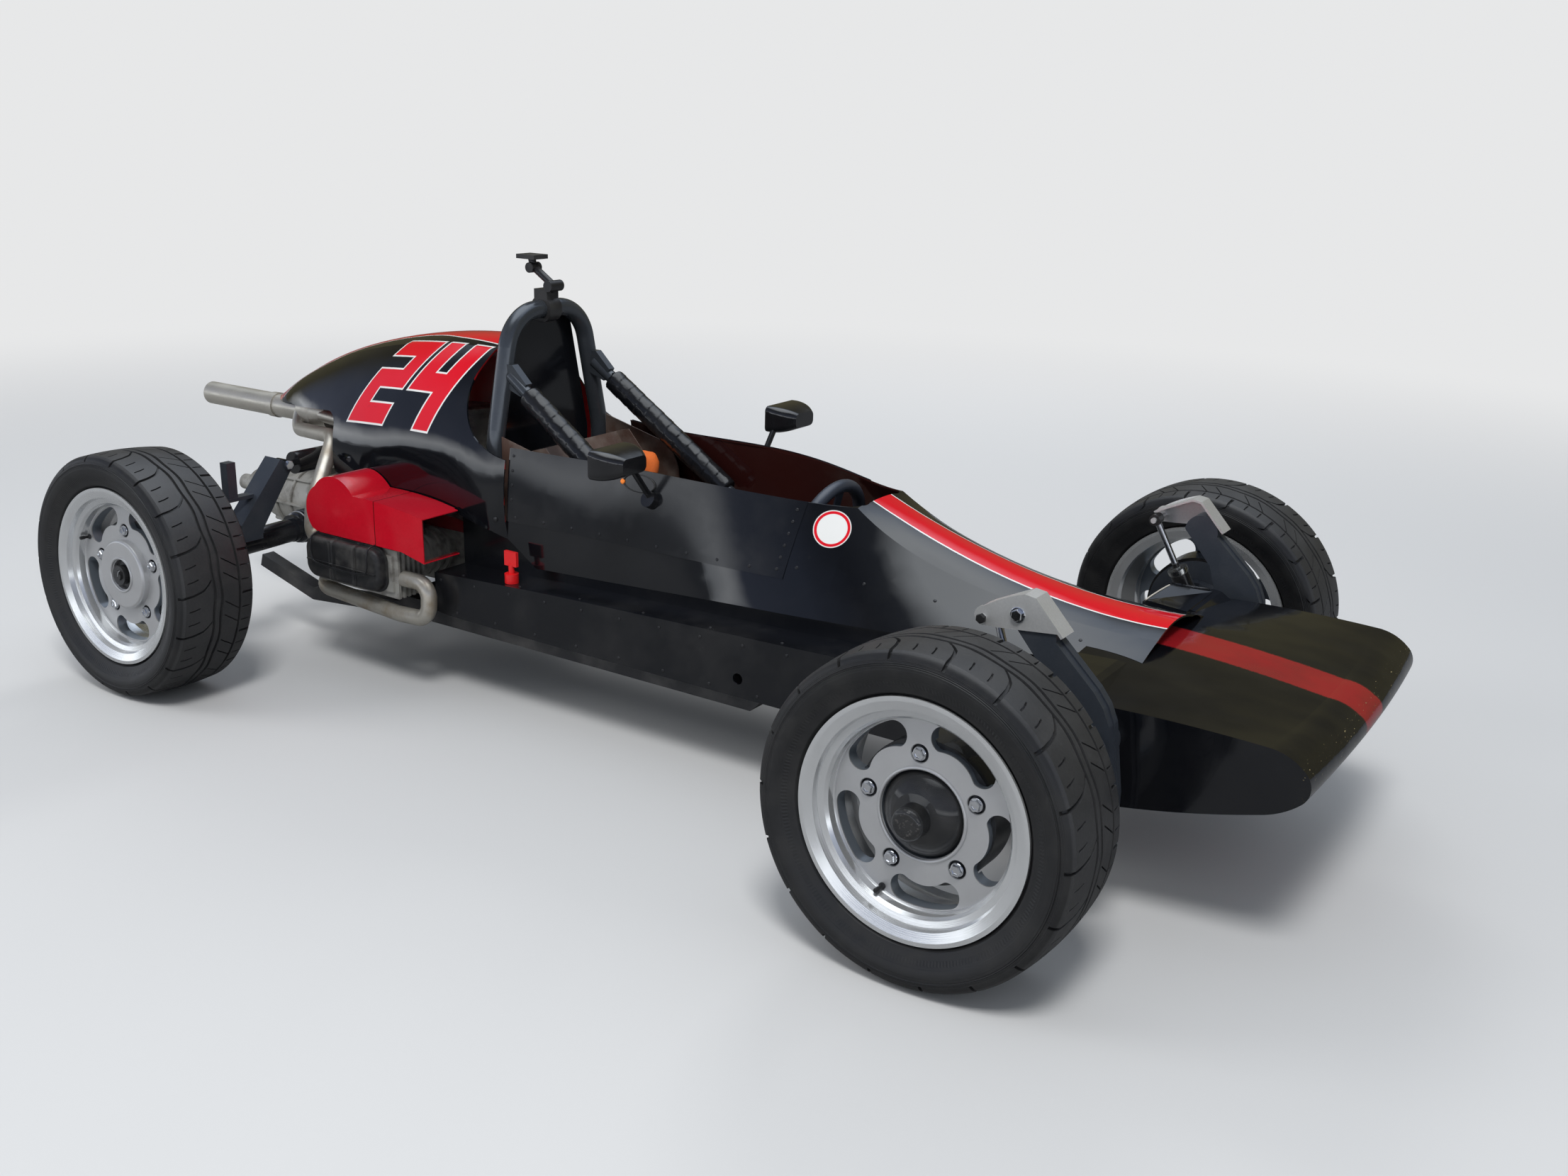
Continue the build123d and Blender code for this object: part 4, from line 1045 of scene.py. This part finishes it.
# A head on each point, along the point's facing and turned by its spin and by a random share
def makeSpreadGroup():
    group = newGeometryGroup("spreadHeads", (("Head", "Object"), ("Size", "Float"), ("Loose", "Float")))
    start = group.nodes.new("NodeGroupInput")
    end = group.nodes.new("NodeGroupOutput")
    facing = addNode(group, "GeometryNodeInputNamedAttribute", {"Name": "facing"}, data_type="FLOAT_VECTOR")
    spin = addNode(group, "GeometryNodeInputNamedAttribute", {"Name": "spin"}, data_type="FLOAT")
    align = addNode(group, "FunctionNodeAlignRotationToVector", axis="Z")
    chance = addNode(group, "FunctionNodeRandomValue", {"Min": 0.0, "Max": 6.28, "Seed": 7},
                     data_type="FLOAT")
    angle = addNode(group, "ShaderNodeMath", operation="MULTIPLY_ADD")
    turn = group.nodes.new("FunctionNodeRotateRotation")
    turn.rotation_space = "LOCAL"
    about = group.nodes.new("FunctionNodeAxisAngleToRotation")
    info = group.nodes.new("GeometryNodeObjectInfo")
    place = group.nodes.new("GeometryNodeInstanceOnPoints")
    realize = group.nodes.new("GeometryNodeRealizeInstances")
    coat = group.nodes.new("GeometryNodeSetMaterial")
    link(group, facing.outputs["Attribute"], align.inputs["Vector"])
    link(group, chance.outputs["Value"], angle)
    link(group, start.outputs["Loose"], angle.inputs[1])
    link(group, spin.outputs["Attribute"], angle.inputs[2])
    link(group, angle, about.inputs["Angle"])
    link(group, align, turn.inputs["Rotation"])
    link(group, about, turn.inputs["Rotate By"])
    link(group, start.outputs["Head"], info.inputs["Object"])
    link(group, start.outputs["Geometry"], place.inputs["Points"])
    link(group, info.outputs["Geometry"], place.inputs["Instance"])
    link(group, turn, place.inputs["Rotation"])
    link(group, start.outputs["Size"], place.inputs["Scale"])
    link(group, place, realize)
    link(group, realize, coat.inputs["Geometry"])
    link(group, start.outputs["Material"], coat.inputs["Material"])
    link(group, coat, end)
    return group


spreadGroup = makeSpreadGroup()


# Spots are pairs of place and facing; a spin step turns each head further than the last
def headMesh(name, kind, spots, material, size=1.0, loose=1.0, spinStep=0.0):
    head = bpy.data.objects.new(name + "Head", turnedHead(name + "Head", *headSettings[kind]))
    mesh = plainMesh(name + "Points", [spot for spot, _ in spots], [])
    mesh.attributes.new("facing", "FLOAT_VECTOR", "POINT")
    mesh.attributes.new("spin", "FLOAT", "POINT")
    for index, (_, normal) in enumerate(spots):
        mesh.attributes["facing"].data[index].vector = normal
        mesh.attributes["spin"].data[index].value = index * spinStep
    result = grown(name, mesh, spreadGroup, Head=head, Size=size, Loose=loose, Material=material)
    bpy.data.objects.remove(head)
    for title in ("facing", "spin"):
        if title in result.attributes:
            result.attributes.remove(result.attributes[title])
    return result


def spreadHeads(name, kind, spots, material, body="chassis", size=1.0):
    return attach(newObject(name, headMesh(name, kind, spots, material, size)), body)


surfaceTrees = {}


# Where a line from a start meets a CAD node: the place and its facing, or nothing
def surfaceAt(node, start, towards):
    if node not in surfaceTrees:
        surfaceTrees[node] = BVHTree.FromObject(nodes[node], bpy.context.evaluated_depsgraph_get())
    spot, normal, _, _ = surfaceTrees[node].ray_cast(start, towards.normalized())
    return None if spot is None else (spot, normal)


# The same for many lines, without those that meet nothing
def surfaceSpots(node, lines):
    return [spot for spot in (surfaceAt(node, *line) for line in lines) if spot]


clearOfCar = 600  # how far out or up the search for a surface starts
carSides = ((-1, "right"), (1, "left"))

# Rows of fasteners on a flank: node, kind, count, first and last place (x, z), on both sides
flankRows = (
    ("side_panels", "rivet", 6, (-616, 578), (-626, 462)),
    ("side_panels", "rivet", 9, (-690, 458), (-1322, 460)),
    ("side_panels", "rivet", 4, (-1334, 600), (-1334, 500)),
    ("body_shell", "rivet", 5, (-584, 470), (20, 432)),
    ("frame_tub", "rivet", 15, (-1500, 294), (10, 340)),
    ("frame_tub", "rivet", 13, (-1450, 222), (10, 216)),
    ("engine_cover", "button", 3, (-1372, 450), (-1880, 470)),
)


def flankSpots(node, count, first, last):
    lines = []
    for index in range(count):
        share = index / (count - 1)
        x = first[0] + (last[0] - first[0]) * share
        z = first[1] + (last[1] - first[1]) * share
        lines += [(car(x, side * clearOfCar, z), Vector((0, -side, 0))) for side, _ in carSides]
    return surfaceSpots(node, lines)


darkRivet = plainMaterial("darkRivet", (0.03, 0.03, 0.032), 0.3, metal=0.6, dust=0.05)
for number, (node, kind, count, first, last) in enumerate(flankRows):
    spreadHeads("flankFasteners%d" % number, kind, flankSpots(node, count, first, last), darkRivet)

ledgeSettings = {"count": 9, "first": -1440, "step": 178, "across": 286}
ledgeLines = []
for index in range(ledgeSettings["count"]):
    along = ledgeSettings["first"] + index * ledgeSettings["step"]
    ledgeLines += [(car(along, side * ledgeSettings["across"], clearOfCar), Vector((0, 0, -1)))
                   for side, _ in carSides]
spreadHeads("ledgeFasteners", "rivet", surfaceSpots("frame_tub", ledgeLines), darkRivet)
print("fasteners set")


# Wheel furniture in each wheel's own frame: x along, y outwards, z up
wheelFurniture = {
    "boltFace": 0.0365,
    "boltTurn": 0.7,
    "valve": {"front": (247, 0.157), "rear": (156, 0.157)},  # angle and reach
    "valveFace": 0.0395,
    # radius, thickness and how far out
    "hubRing": {"front": (0.0785, 0.0032, 0.0405), "rear": (0.0395, 0.003, 0.0572)},
}


def outwardFaces(mesh, weld=1e-6):
    shape = bmesh.new()
    shape.from_mesh(mesh)
    bmesh.ops.remove_doubles(shape, verts=shape.verts, dist=weld)
    bmesh.ops.recalc_face_normals(shape, faces=shape.faces)
    shape.to_mesh(mesh)
    shape.free()
    return mesh


def meshFrom(name, points, faces):
    return outwardFaces(plainMesh(name, points, faces))


# A round ring about the Y axis, at a distance along it
def ringMesh(name, radius, thick, along, steps=64, sides=10):
    section = [2 * math.pi * k / sides for k in range(sides)]
    points = []
    faces = []
    for i in range(steps):
        a = 2 * math.pi * i / steps
        for k in section:
            r = radius + thick * math.cos(k)
            points.append((r * math.cos(a), along + thick * math.sin(k), r * math.sin(a)))
        faces += loopFaces(i * sides, (i + 1) % steps * sides, sides)
    return meshFrom(name, points, faces)


def joined(name, meshes):
    shape = bmesh.new()
    for mesh in meshes:
        shape.from_mesh(mesh)
    result = bpy.data.meshes.new(name)
    shape.to_mesh(result)
    shape.free()
    return result


chrome = plainMaterial("boltChrome", (0.75, 0.76, 0.78), 0.14, metal=1.0, dust=0.05, bumpy=False)
satinBlack = plainMaterial("valveBlack", (0.01, 0.01, 0.01), 0.4, dust=0.05)


# A place on a wheel's face, with the wheel's outward direction
def faceSpot(degrees, reach, out):
    angle = math.radians(degrees)
    return Vector((reach * math.cos(angle), out, reach * math.sin(angle))), Vector((0, 1, 0))


for key, matrix in wheelPlaces.items():
    end = key.split("_")[0]
    w = wheelFurniture
    count = wheelSettings["lugs"]
    first = wheelSettings["firstLug"][end]
    spots = [faceSpot(first + 360 / count * number, wheelSettings["lugCircle"], w["boltFace"])
             for number in range(count)]
    bolts = [headMesh("lugHead", "lugHead", spots, chrome, loose=0.0, spinStep=w["boltTurn"]),
             headMesh("lugCollar", "lugCollar", spots, chrome, loose=0.0)]
    lugs = placed("wheelBolts." + key, joined("lugs", bolts), matrix, chrome, 25)
    attach(lugs, "wheel_" + key)
    ring = ringMesh("ring", *w["hubRing"][end])
    ring = placed("hubRing." + key, ring, matrix, ownMaterials["wheel_" + key], 60)
    attach(ring, "wheel_" + key)
    stem = headMesh("stem", "valve", [faceSpot(*w["valve"][end], w["valveFace"])], satinBlack, loose=0.0)
    valve = placed("valveStem." + key, stem, matrix, satinBlack, 30)
    attach(valve, "wheel_" + key)
print("wheels dressed")


# Foam on the braces, wrapped in black tape: a tube with a spiral of overlapping turns and wrinkles
wrapSettings = {
    "top": (-1404, 146, 765),
    "foot": (-1000, 166, 490),
    "reach": (0.135, 0.972),
    "radius": 0.0262,
    "tapePitch": 0.034,
    "lap": 0.0011,
    "wrinkle": 0.0011,
    "raggedEnd": 0.006,
    "tuck": (0.72, 0.9, 0.97),
    "rings": 190,
    "sides": 44,
}


def wrapMesh(side):
    c = wrapSettings
    top = car(c["top"][0], side * c["top"][1], c["top"][2])
    foot = car(c["foot"][0], side * c["foot"][1], c["foot"][2])
    along = (foot - top).normalized()
    across = along.cross(Vector((0, 0, 1))).normalized()
    lift = across.cross(along)
    low, high = c["reach"]
    span = (foot - top).length * (high - low)
    points = []
    for j in range(c["rings"]):
        share = j / (c["rings"] - 1)
        for i in range(c["sides"]):
            a = 2 * math.pi * i / c["sides"]
            u = share * span
            turn = u / c["tapePitch"] + a / (2 * math.pi) + 0.12 * noise.noise(Vector((u * 30, a, side * 3)))
            lap = c["lap"] * (turn % 1.0)
            folded = Vector((u * 55 + 9 * math.sin(a), u * 20 + 2.2 * math.cos(a),
                             side * 5 + 2 * math.sin(a)))
            fine = noise.noise(Vector((u * 170, math.cos(a) * 5, math.sin(a) * 5 + side)))
            r = c["radius"] + lap + c["wrinkle"] * noise.noise(folded) + 0.00015 * fine
            shift = 0.0
            if share in (0.0, 1.0):
                torn = Vector((math.cos(a) * 3, math.sin(a) * 3, share * 7 + side))
                shift = c["raggedEnd"] * noise.noise(torn)
            rim = min(share, 1 - share) * (c["rings"] - 1)
            if rim < len(c["tuck"]):
                r *= c["tuck"][int(rim)]
            spot = top + (foot - top) * low + along * (u + shift)
            points.append(spot + (across * math.cos(a) + lift * math.sin(a)) * r)
    n = c["sides"]
    faces = []
    for j in range(c["rings"] - 1):
        faces += loopFaces(j * n, (j + 1) * n, n)
    for ring in (list(range(n)), list(range(len(points) - n, len(points)))):
        points.append(sum((points[k] for k in ring), Vector()) / n)
        centre = len(points) - 1
        faces += [(ring[i], ring[(i + 1) % n], centre) for i in range(n)]
    return meshFrom("wrap", points, faces)


tape = plainMaterial("wrapTape", (0.007, 0.0075, 0.009), 0.2, dust=0.03, bumpy=False)
wraps = placed("tapedPadding", joined("wraps", [wrapMesh(-1), wrapMesh(1)]), material=tape, smooth=60)
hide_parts("brace_padding")
attach(wraps, "chassis")
print("padding wrapped")

# Bolts of the front brackets: washer, hexagon and the small black one at the damper's eye
bracketSettings = {"main": (22, 440.3, 562), "eye": (-41, 447.5, 545), "washer": 1.25, "bolt": 1.4,
                   "eyeBolt": 1.15}


# The same spot on both flanks, facing outwards
def flankPair(spot):
    x, y, z = spot
    return [(car(x, side * y, z), Vector((0, side, 0))) for side, _ in carSides]


b = bracketSettings
spreadHeads("bracketWashers", "washer", flankPair(b["main"]), chrome, size=b["washer"])
spreadHeads("bracketBolts", "hex", flankPair(b["main"]), chrome, size=b["bolt"])
spreadHeads("damperBolts", "hex", flankPair(b["eye"]), satinBlack,
            size=b["eyeBolt"])


# Gearbox: bolts round its flanges, ribs down its cone and along its case, and hoops round the case
gearSettings = {
    "circles": ((-2050, 0.15, 10), (-2260, 0.0975, 8)),  # where the search starts, radius and count
    "ribHalf": 0.003,
    "ribSets": ((12, ((-1924, 0.14), (-1924, 0.158), (-1936, 0.158), (-1992, 0.119), (-1998, 0.1))),
                (8, ((-2213, 0.08), (-2213, 0.101), (-2235, 0.0925), (-2395, 0.0885), (-2402, 0.076)))),
    "hoops": ((-2300, 0.0835), (-2362, 0.0825)),
    "hoopThick": 0.006,
}
low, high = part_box("transaxle")
gearHeight = (low.z + high.z) / 2
flangeLines = []
for x, reach, count in gearSettings["circles"]:
    for number in range(count):
        a = 2 * math.pi * (number + 0.5) / count
        start = car(x, 0, 0) + Vector((0, reach * math.cos(a), gearHeight + reach * math.sin(a)))
        flangeLines.append((start, Vector((1, 0, 0))))
spreadHeads("flangeBolts", "hex", surfaceSpots("transaxle", flangeLines), materials["steel"])


# One rib in the plane across a wheel, ready to be repeated round the Y axis
def ribMesh(profile):
    half = gearSettings["ribHalf"]
    points = [(r, x / 1000, side * half) for side in (-1, 1) for x, r in profile]
    n = len(profile)
    faces = [tuple(range(n)), tuple(reversed(range(n, 2 * n)))] + loopFaces(0, n, n)
    return meshFrom("rib", points, faces)


parts = [repeatRound("ribs", ribMesh(profile), count, materials["cast_case"])
         for count, profile in gearSettings["ribSets"]]
for x, radius in gearSettings["hoops"]:
    parts.append(ringMesh("hoop", radius, gearSettings["hoopThick"], x / 1000))
alongCar = Matrix.Translation((frontAxle, 0, gearHeight)) @ Matrix.Rotation(math.radians(-90), 4, "Z")
attach(placed("gearboxRibs", joined("ribs", parts), alongCar, materials["cast_case"]), "chassis")
print("gearbox dressed")


# Bent wires: the clips over the rocker covers
def wire(name, points, radius, material, body="chassis"):
    curveData = bpy.data.curves.new(name, "CURVE")
    curveData.dimensions = "3D"
    curveData.bevel_depth = radius
    curveData.bevel_resolution = 2
    curveData.resolution_u = 8
    curveData.use_fill_caps = True
    spline = curveData.splines.new("NURBS")
    spline.points.add(len(points) - 1)
    for item, point in zip(spline.points, points):
        item.co = (*point, 1)
    spline.order_u = 3
    spline.use_endpoint_u = True
    mesh = bakedMesh(newObject(name + "Curve", curveData))
    return attach(placed(name, mesh, material=material, smooth=60), body)


clipSettings = {"radius": 0.0021, "proud": 0.003, "fromEnd": 0.035, "overTop": 0.004, "middle": 0.042}
low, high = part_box("valve_covers")
for side, tag in carSides:
    c = clipSettings
    out = high.y + c["proud"]
    rear, front = low.x + c["fromEnd"], high.x - c["fromEnd"]
    top, middle = high.z + c["overTop"], low.z + c["middle"]
    leg = [(0, -0.06, top), (0, -0.012, top), (0, 0, top - 0.016), (0, 0, middle + 0.02), (0.01, 0, middle)]
    clip = [(rear + x, out + y, z) for x, y, z in leg]
    clip += [(front - x, out + y, z) for x, y, z in reversed(leg)]
    wire("coverClip." + tag, [(x, side * y, z) for x, y, z in clip], c["radius"], darkRivet)


# Putty ring where each mirror's stem meets the panel
mirrorSettings = {"spot": (-987, 586), "long": 0.043, "tall": 0.019, "thick": 0.0026}
for side, tag in carSides:
    m = mirrorSettings
    x, z = m["spot"]
    found = surfaceAt("side_panels", car(x, side * clearOfCar, z), Vector((0, -side, 0)))
    if found:
        spot, normal = found
        lift = (Vector((0, 0, 1)) - normal * normal.z).normalized()
        turn = Matrix((Vector((1, 0, 0)), lift, normal)).transposed().to_4x4()
        flat = Matrix.Diagonal((1, m["tall"] / m["long"], 1, 1)) @ Matrix.Rotation(math.radians(90), 4, "X")
        ring = ringMesh("putty", m["long"], m["thick"], 0.0)
        ring.transform(Matrix.Translation(spot) @ turn @ flat)
        piece = placed("mirrorRing." + tag, outwardFaces(ring), material=satinBlack, smooth=60)
        attach(piece, "chassis")
print("clips and mirror rings made")


# Rubber boots on the swing axles: folds and a bright clamp
bootSettings = {"centre": (-2108, 0, 299), "radius": 0.0402, "fold": 0.0034, "from": 0.15, "step": 0.0105,
                "folds": 6, "clamp": 0.0021}
for side, tag in carSides:
    b = bootSettings
    centre = Matrix.Translation(car(*b["centre"]))
    places = [side * (b["from"] + k * b["step"]) for k in range(b["folds"] + 1)]
    folds = joined("folds", [ringMesh("fold", b["radius"], b["fold"], along) for along in places[:-1]])
    boot = placed("axleBoot." + tag, folds, centre, ownMaterials["axle_tubes"], 60)
    clamp = ringMesh("clamp", b["radius"], b["clamp"], places[-1])
    clamp = placed("bootClamp." + tag, clamp, centre, materials["steel"], 60)
    attach(boot, "chassis")
    attach(clamp, "chassis")


# Mirror glass, set in the pods' rear faces
glassSettings = {"spot": (-968.6, 320, 660), "half": (0.0012, 0.0525, 0.0225)}
mirrorGlass = plainMaterial("mirrorGlass", (0.82, 0.84, 0.85), 0.03, metal=1.0, dust=0.02, bumpy=False)


# A closed slab between two loops of four corners
def slabMesh(name, first, second):
    return meshFrom(name, first + second, [(0, 1, 2, 3), (7, 6, 5, 4)] + loopFaces(0, 4, 4))


panes = []
for side, _ in carSides:
    x, y, z = glassSettings["spot"]
    hx, hy, hz = glassSettings["half"]
    centre = car(x, side * y, z)
    loops = [[centre + Vector((u * hx, v * hy, w * hz)) for v, w in ((-1, -1), (1, -1), (1, 1), (-1, 1))]
             for u in (-1, 1)]
    panes.append(slabMesh("pane", *loops))
glass = placed("mirrorGlass", joined("panes", panes), material=mirrorGlass)
attach(glass, "chassis")


# A small orange marker by the near mirror
markerSettings = {"spot": (-1032, -clearOfCar, 584), "color": (0.8, 0.2, 0.02)}
found = surfaceAt("side_panels", car(*markerSettings["spot"]), Vector((0, 1, 0)))
if found:
    marker = plainMaterial("orangeMarker", markerSettings["color"], 0.4, dust=0.05)
    spreadHeads("sideMarker", "button", [found], marker)


# Washers and bolts at the ends of the rear damper and on the arms' faces
endSettings = {"damper": (-2049, 486), "arm": (-1900, 306, 494), "washer": 1.9, "bolt": 1.5}
x, z = endSettings["damper"]
endLines = [(car(x, side * clearOfCar, z), Vector((0, -side, 0))) for side, _ in carSides]
endSpots = surfaceSpots("rear_shock", endLines)
x, y, z = endSettings["arm"]
armLines = [(car(x, side * y, z), Vector((-1, 0, 0))) for side, _ in carSides]
armSpots = surfaceSpots("rear_arms", armLines)
spreadHeads("damperEnds", "washer", endSpots, chrome, size=endSettings["washer"])
spreadHeads("damperEndBolts", "hex", endSpots + armSpots, chrome, size=endSettings["bolt"])

# Cotter pins in the rear hubs, in the wheel's own frame
pinSettings = {
    "radius": 0.0011,
    "path": ((0.0, 0.0665, -0.004), (0.004, 0.0685, 0.003), (0.011, 0.0715, 0.012), (0.019, 0.0735, 0.016)),
}
for side in ("left", "right"):
    matrix = wheelPlaces["rear_" + side]
    path = [matrix @ Vector(p) for p in pinSettings["path"]]
    wire("cotterPin." + side, path, pinSettings["radius"], chrome, "wheel_rear_" + side)

# The raised flap on the left fairing, with its bare rear edge
flapSettings = {"top": ((32, 163, 436), (47, 257, 447), (116, 328, 428), (118, 164, 428)), "low": 421,
                "rim": 0.0016, "crest": 0.003}
flapTop = [car(*p) for p in flapSettings["top"]]
flapLow = [car(p[0], p[1], flapSettings["low"]) for p in flapSettings["top"]]
flap = placed("fairingFlap", slabMesh("flap", flapTop, flapLow), material=materials["black_gelcoat"])
attach(flap, "chassis")
bareEdge = plainMaterial("bareEdge", (0.45, 0.42, 0.36), 0.5, dust=0.1)
crest = flapTop[0].lerp(flapTop[1], 0.5) + Vector((0, 0, flapSettings["crest"]))
wire("flapEdge", [flapTop[0], crest, flapTop[1]], flapSettings["rim"], bareEdge)


# Orange foam pad tucked beside the seat's far wing
padSettings = {"spot": (-1222, 118, 535), "half": (0.034, 0.022, 0.036), "round": 2.6, "lumps": 0.06,
               "rows": 14, "around": 24, "color": (0.75, 0.16, 0.03)}


def bulged(value):
    return math.copysign(abs(value) ** (2 / padSettings["round"]), value)


def padMesh():
    hx, hy, hz = padSettings["half"]
    rows, around = padSettings["rows"], padSettings["around"]
    centre = car(*padSettings["spot"])
    points = []
    faces = []
    for j in range(rows + 1):
        v = math.pi * (j / rows - 0.5)
        for i in range(around):
            u = 2 * math.pi * i / around
            out = bulged(math.cos(v))
            spot = Vector((hx * out * bulged(math.cos(u)), hy * out * bulged(math.sin(u)),
                           hz * bulged(math.sin(v))))
            spot *= 1 + padSettings["lumps"] * noise.noise(spot * 60)
            points.append(centre + spot)
        if j < rows:
            faces += loopFaces(j * around, (j + 1) * around, around)
    return meshFrom("foam", points, faces)


foam = plainMaterial("orangeFoam", padSettings["color"], 0.75, dust=0.1)
foamPad = placed("foamPad", padMesh(), material=foam, smooth=60)
attach(foamPad, "chassis")
print("small pieces made")

# Camera matched to the photo: its place is counted from the front axle, its focal length is in pixels
cameraSettings = {
    "yaw": -33.189,
    "pitch": 17.582,
    "roll": 1.578,
    "place": (0.9946, -2.6463, 1.3517),
    "focal": 2105.2,
    "photoWidth": 2212,
    "sensor": 36,
    "nearest": 0.05,
}
yaw, pitch, roll = (math.radians(cameraSettings[key]) for key in ("yaw", "pitch", "roll"))
ahead = Vector((math.sin(yaw) * math.cos(pitch), math.cos(yaw) * math.cos(pitch), -math.sin(pitch)))
flatRight = ahead.cross(Vector((0, 0, 1))).normalized()
flatUp = flatRight.cross(ahead)
right = math.cos(roll) * flatRight + math.sin(roll) * flatUp
up = -math.sin(roll) * flatRight + math.cos(roll) * flatUp
cameraData = bpy.data.cameras.new("photoCamera")
cameraData.sensor_width = cameraSettings["sensor"]
cameraData.lens = cameraSettings["sensor"] * cameraSettings["focal"] / cameraSettings["photoWidth"]
cameraData.clip_start = cameraSettings["nearest"]
camera = newObject("photoCamera", cameraData)
rotation = Matrix((right, up, -ahead)).transposed().to_4x4()
place = Vector(cameraSettings["place"]) + Vector((frontAxle, 0, 0))
camera.matrix_world = Matrix.Translation(place) @ rotation
bpy.context.scene.camera = camera
bpy.context.scene.view_settings.view_transform = "Standard"
print("camera set")

# Pale floor that runs into an even background
floorSettings = {"size": 60, "color": (0.62, 0.62, 0.615), "mirrored": (0.2, 0.2, 0.2),
                 "shown": (0.8, 0.805, 0.81), "near": 2.6, "far": 7.0}
reach = floorSettings["size"]
corners = [(x * reach, y * reach, 0) for x, y in ((-1, -1), (1, -1), (1, 1), (-1, 1))]
floorMesh = plainMesh("floor", corners, [(0, 1, 2, 3)])
floor = newObject("floor", floorMesh)
floorMaterial, tree, bsdf = newMaterial("floor")
bsdf.inputs["Roughness"].default_value = 0.8
coords = tree.nodes.new("ShaderNodeTexCoord")
distance = addNode(tree, "ShaderNodeVectorMath", operation="LENGTH")
link(tree, coords.outputs["Object"], distance)
reachOut = {"From Min": floorSettings["near"], "From Max": floorSettings["far"]}
fade = addNode(tree, "ShaderNodeMapRange", reachOut)
fade.interpolation_type = "SMOOTHSTEP"
link(tree, distance.outputs["Value"], fade.inputs["Value"])
path = tree.nodes.new("ShaderNodeLightPath")
seen = path.outputs["Is Camera Ray"]
link(tree, mixColor(tree, path.outputs["Is Glossy Ray"], floorSettings["color"], floorSettings["mirrored"]),
     bsdf.inputs["Base Color"])
glow = addNode(tree, "ShaderNodeEmission", {"Color": (*floorSettings["shown"], 1)})
join = tree.nodes.new("ShaderNodeMixShader")
link(tree, times(tree, fade.outputs[0], seen), join)
link(tree, bsdf, join.inputs[1])
link(tree, glow, join.inputs[2])
output = next(node for node in tree.nodes if node.type == "OUTPUT_MATERIAL")
link(tree, join, output.inputs["Surface"])
floorMesh.materials.append(floorMaterial)

# World: even for the light it gives; in reflections a pale horizon towards the lens, a dark backdrop behind
worldSettings = {
    "even": (0.52, 0.56, 0.62),
    "near": ((0.0, (0.45, 0.48, 0.52)), (0.07, (0.75, 0.78, 0.82)), (0.17, (0.09, 0.105, 0.15)),
             (0.5, (0.06, 0.072, 0.105)), (0.7, (0.02, 0.022, 0.028)), (0.84, (0.05, 0.055, 0.065)),
             (0.95, (0.9, 0.95, 1.0))),
    "behind": ((0.0, (0.035, 0.032, 0.02)), (0.3, (0.042, 0.038, 0.021)), (0.55, (0.025, 0.023, 0.017)),
               (0.74, (0.35, 0.4, 0.48)), (0.95, (0.9, 0.95, 1.0))),
    "mirrorStrength": 3.0,
    "strength": 0.85,
    "blend": 0.2,
}
world = bpy.data.worlds.new("studio")
bpy.context.scene.world = world
world.use_nodes = True
tree = world.node_tree
background = tree.nodes["Background"]
path = tree.nodes.new("ShaderNodeLightPath")
coords = tree.nodes.new("ShaderNodeTexCoord")
split = tree.nodes.new("ShaderNodeSeparateXYZ")
link(tree, coords.outputs["Generated"], split)
halves = []
for key in ("behind", "near"):
    ramp = tree.nodes.new("ShaderNodeValToRGB")
    stops = ramp.color_ramp.elements
    for index, (place, shade) in enumerate(worldSettings[key]):
        stop = stops[index] if index < 2 else stops.new(place)
        stop.position = place
        stop.color = (*shade, 1)
    link(tree, split.outputs["Z"], ramp.inputs["Fac"])
    halves.append(ramp.outputs["Color"])
blend = {"From Min": worldSettings["blend"], "From Max": -worldSettings["blend"]}
nearSide = addNode(tree, "ShaderNodeMapRange", blend)
nearSide.interpolation_type = "SMOOTHSTEP"
link(tree, split.outputs["Y"], nearSide.inputs["Value"])
mirrored = mixColor(tree, nearSide.outputs[0], *halves)
even = tuple(c * worldSettings["strength"] for c in worldSettings["even"])
bright = addNode(tree, "ShaderNodeVectorMath", {"Scale": worldSettings["mirrorStrength"]}, operation="SCALE")
link(tree, mirrored, bright)
lit = mixColor(tree, path.outputs["Is Glossy Ray"], even, bright.outputs[0])
filled = mixColor(tree, path.outputs["Is Camera Ray"], lit, floorSettings["shown"])
link(tree, filled, background.inputs["Color"])

# Lights: place, size and power, all turned to a point in the car
lightSettings = {
    "key": ((2.5, -3.5, 6.0), 1.6, 290),
    "fill": ((-4.5, -4.0, 4.0), 3.0, 110),
    "back": ((-2.0, 5.5, 4.5), 2.5, 150),
}
aim = Vector((0, 0, 0.4))
for name, (place, size, power) in lightSettings.items():
    lightData = bpy.data.lights.new(name, "AREA")
    lightData.size = size
    lightData.energy = power
    lamp = newObject(name, lightData)
    lamp.location = place
    lamp.rotation_euler = (aim - Vector(place)).to_track_quat("-Z", "Y").to_euler()
    lamp.visible_glossy = False
print("stage set")
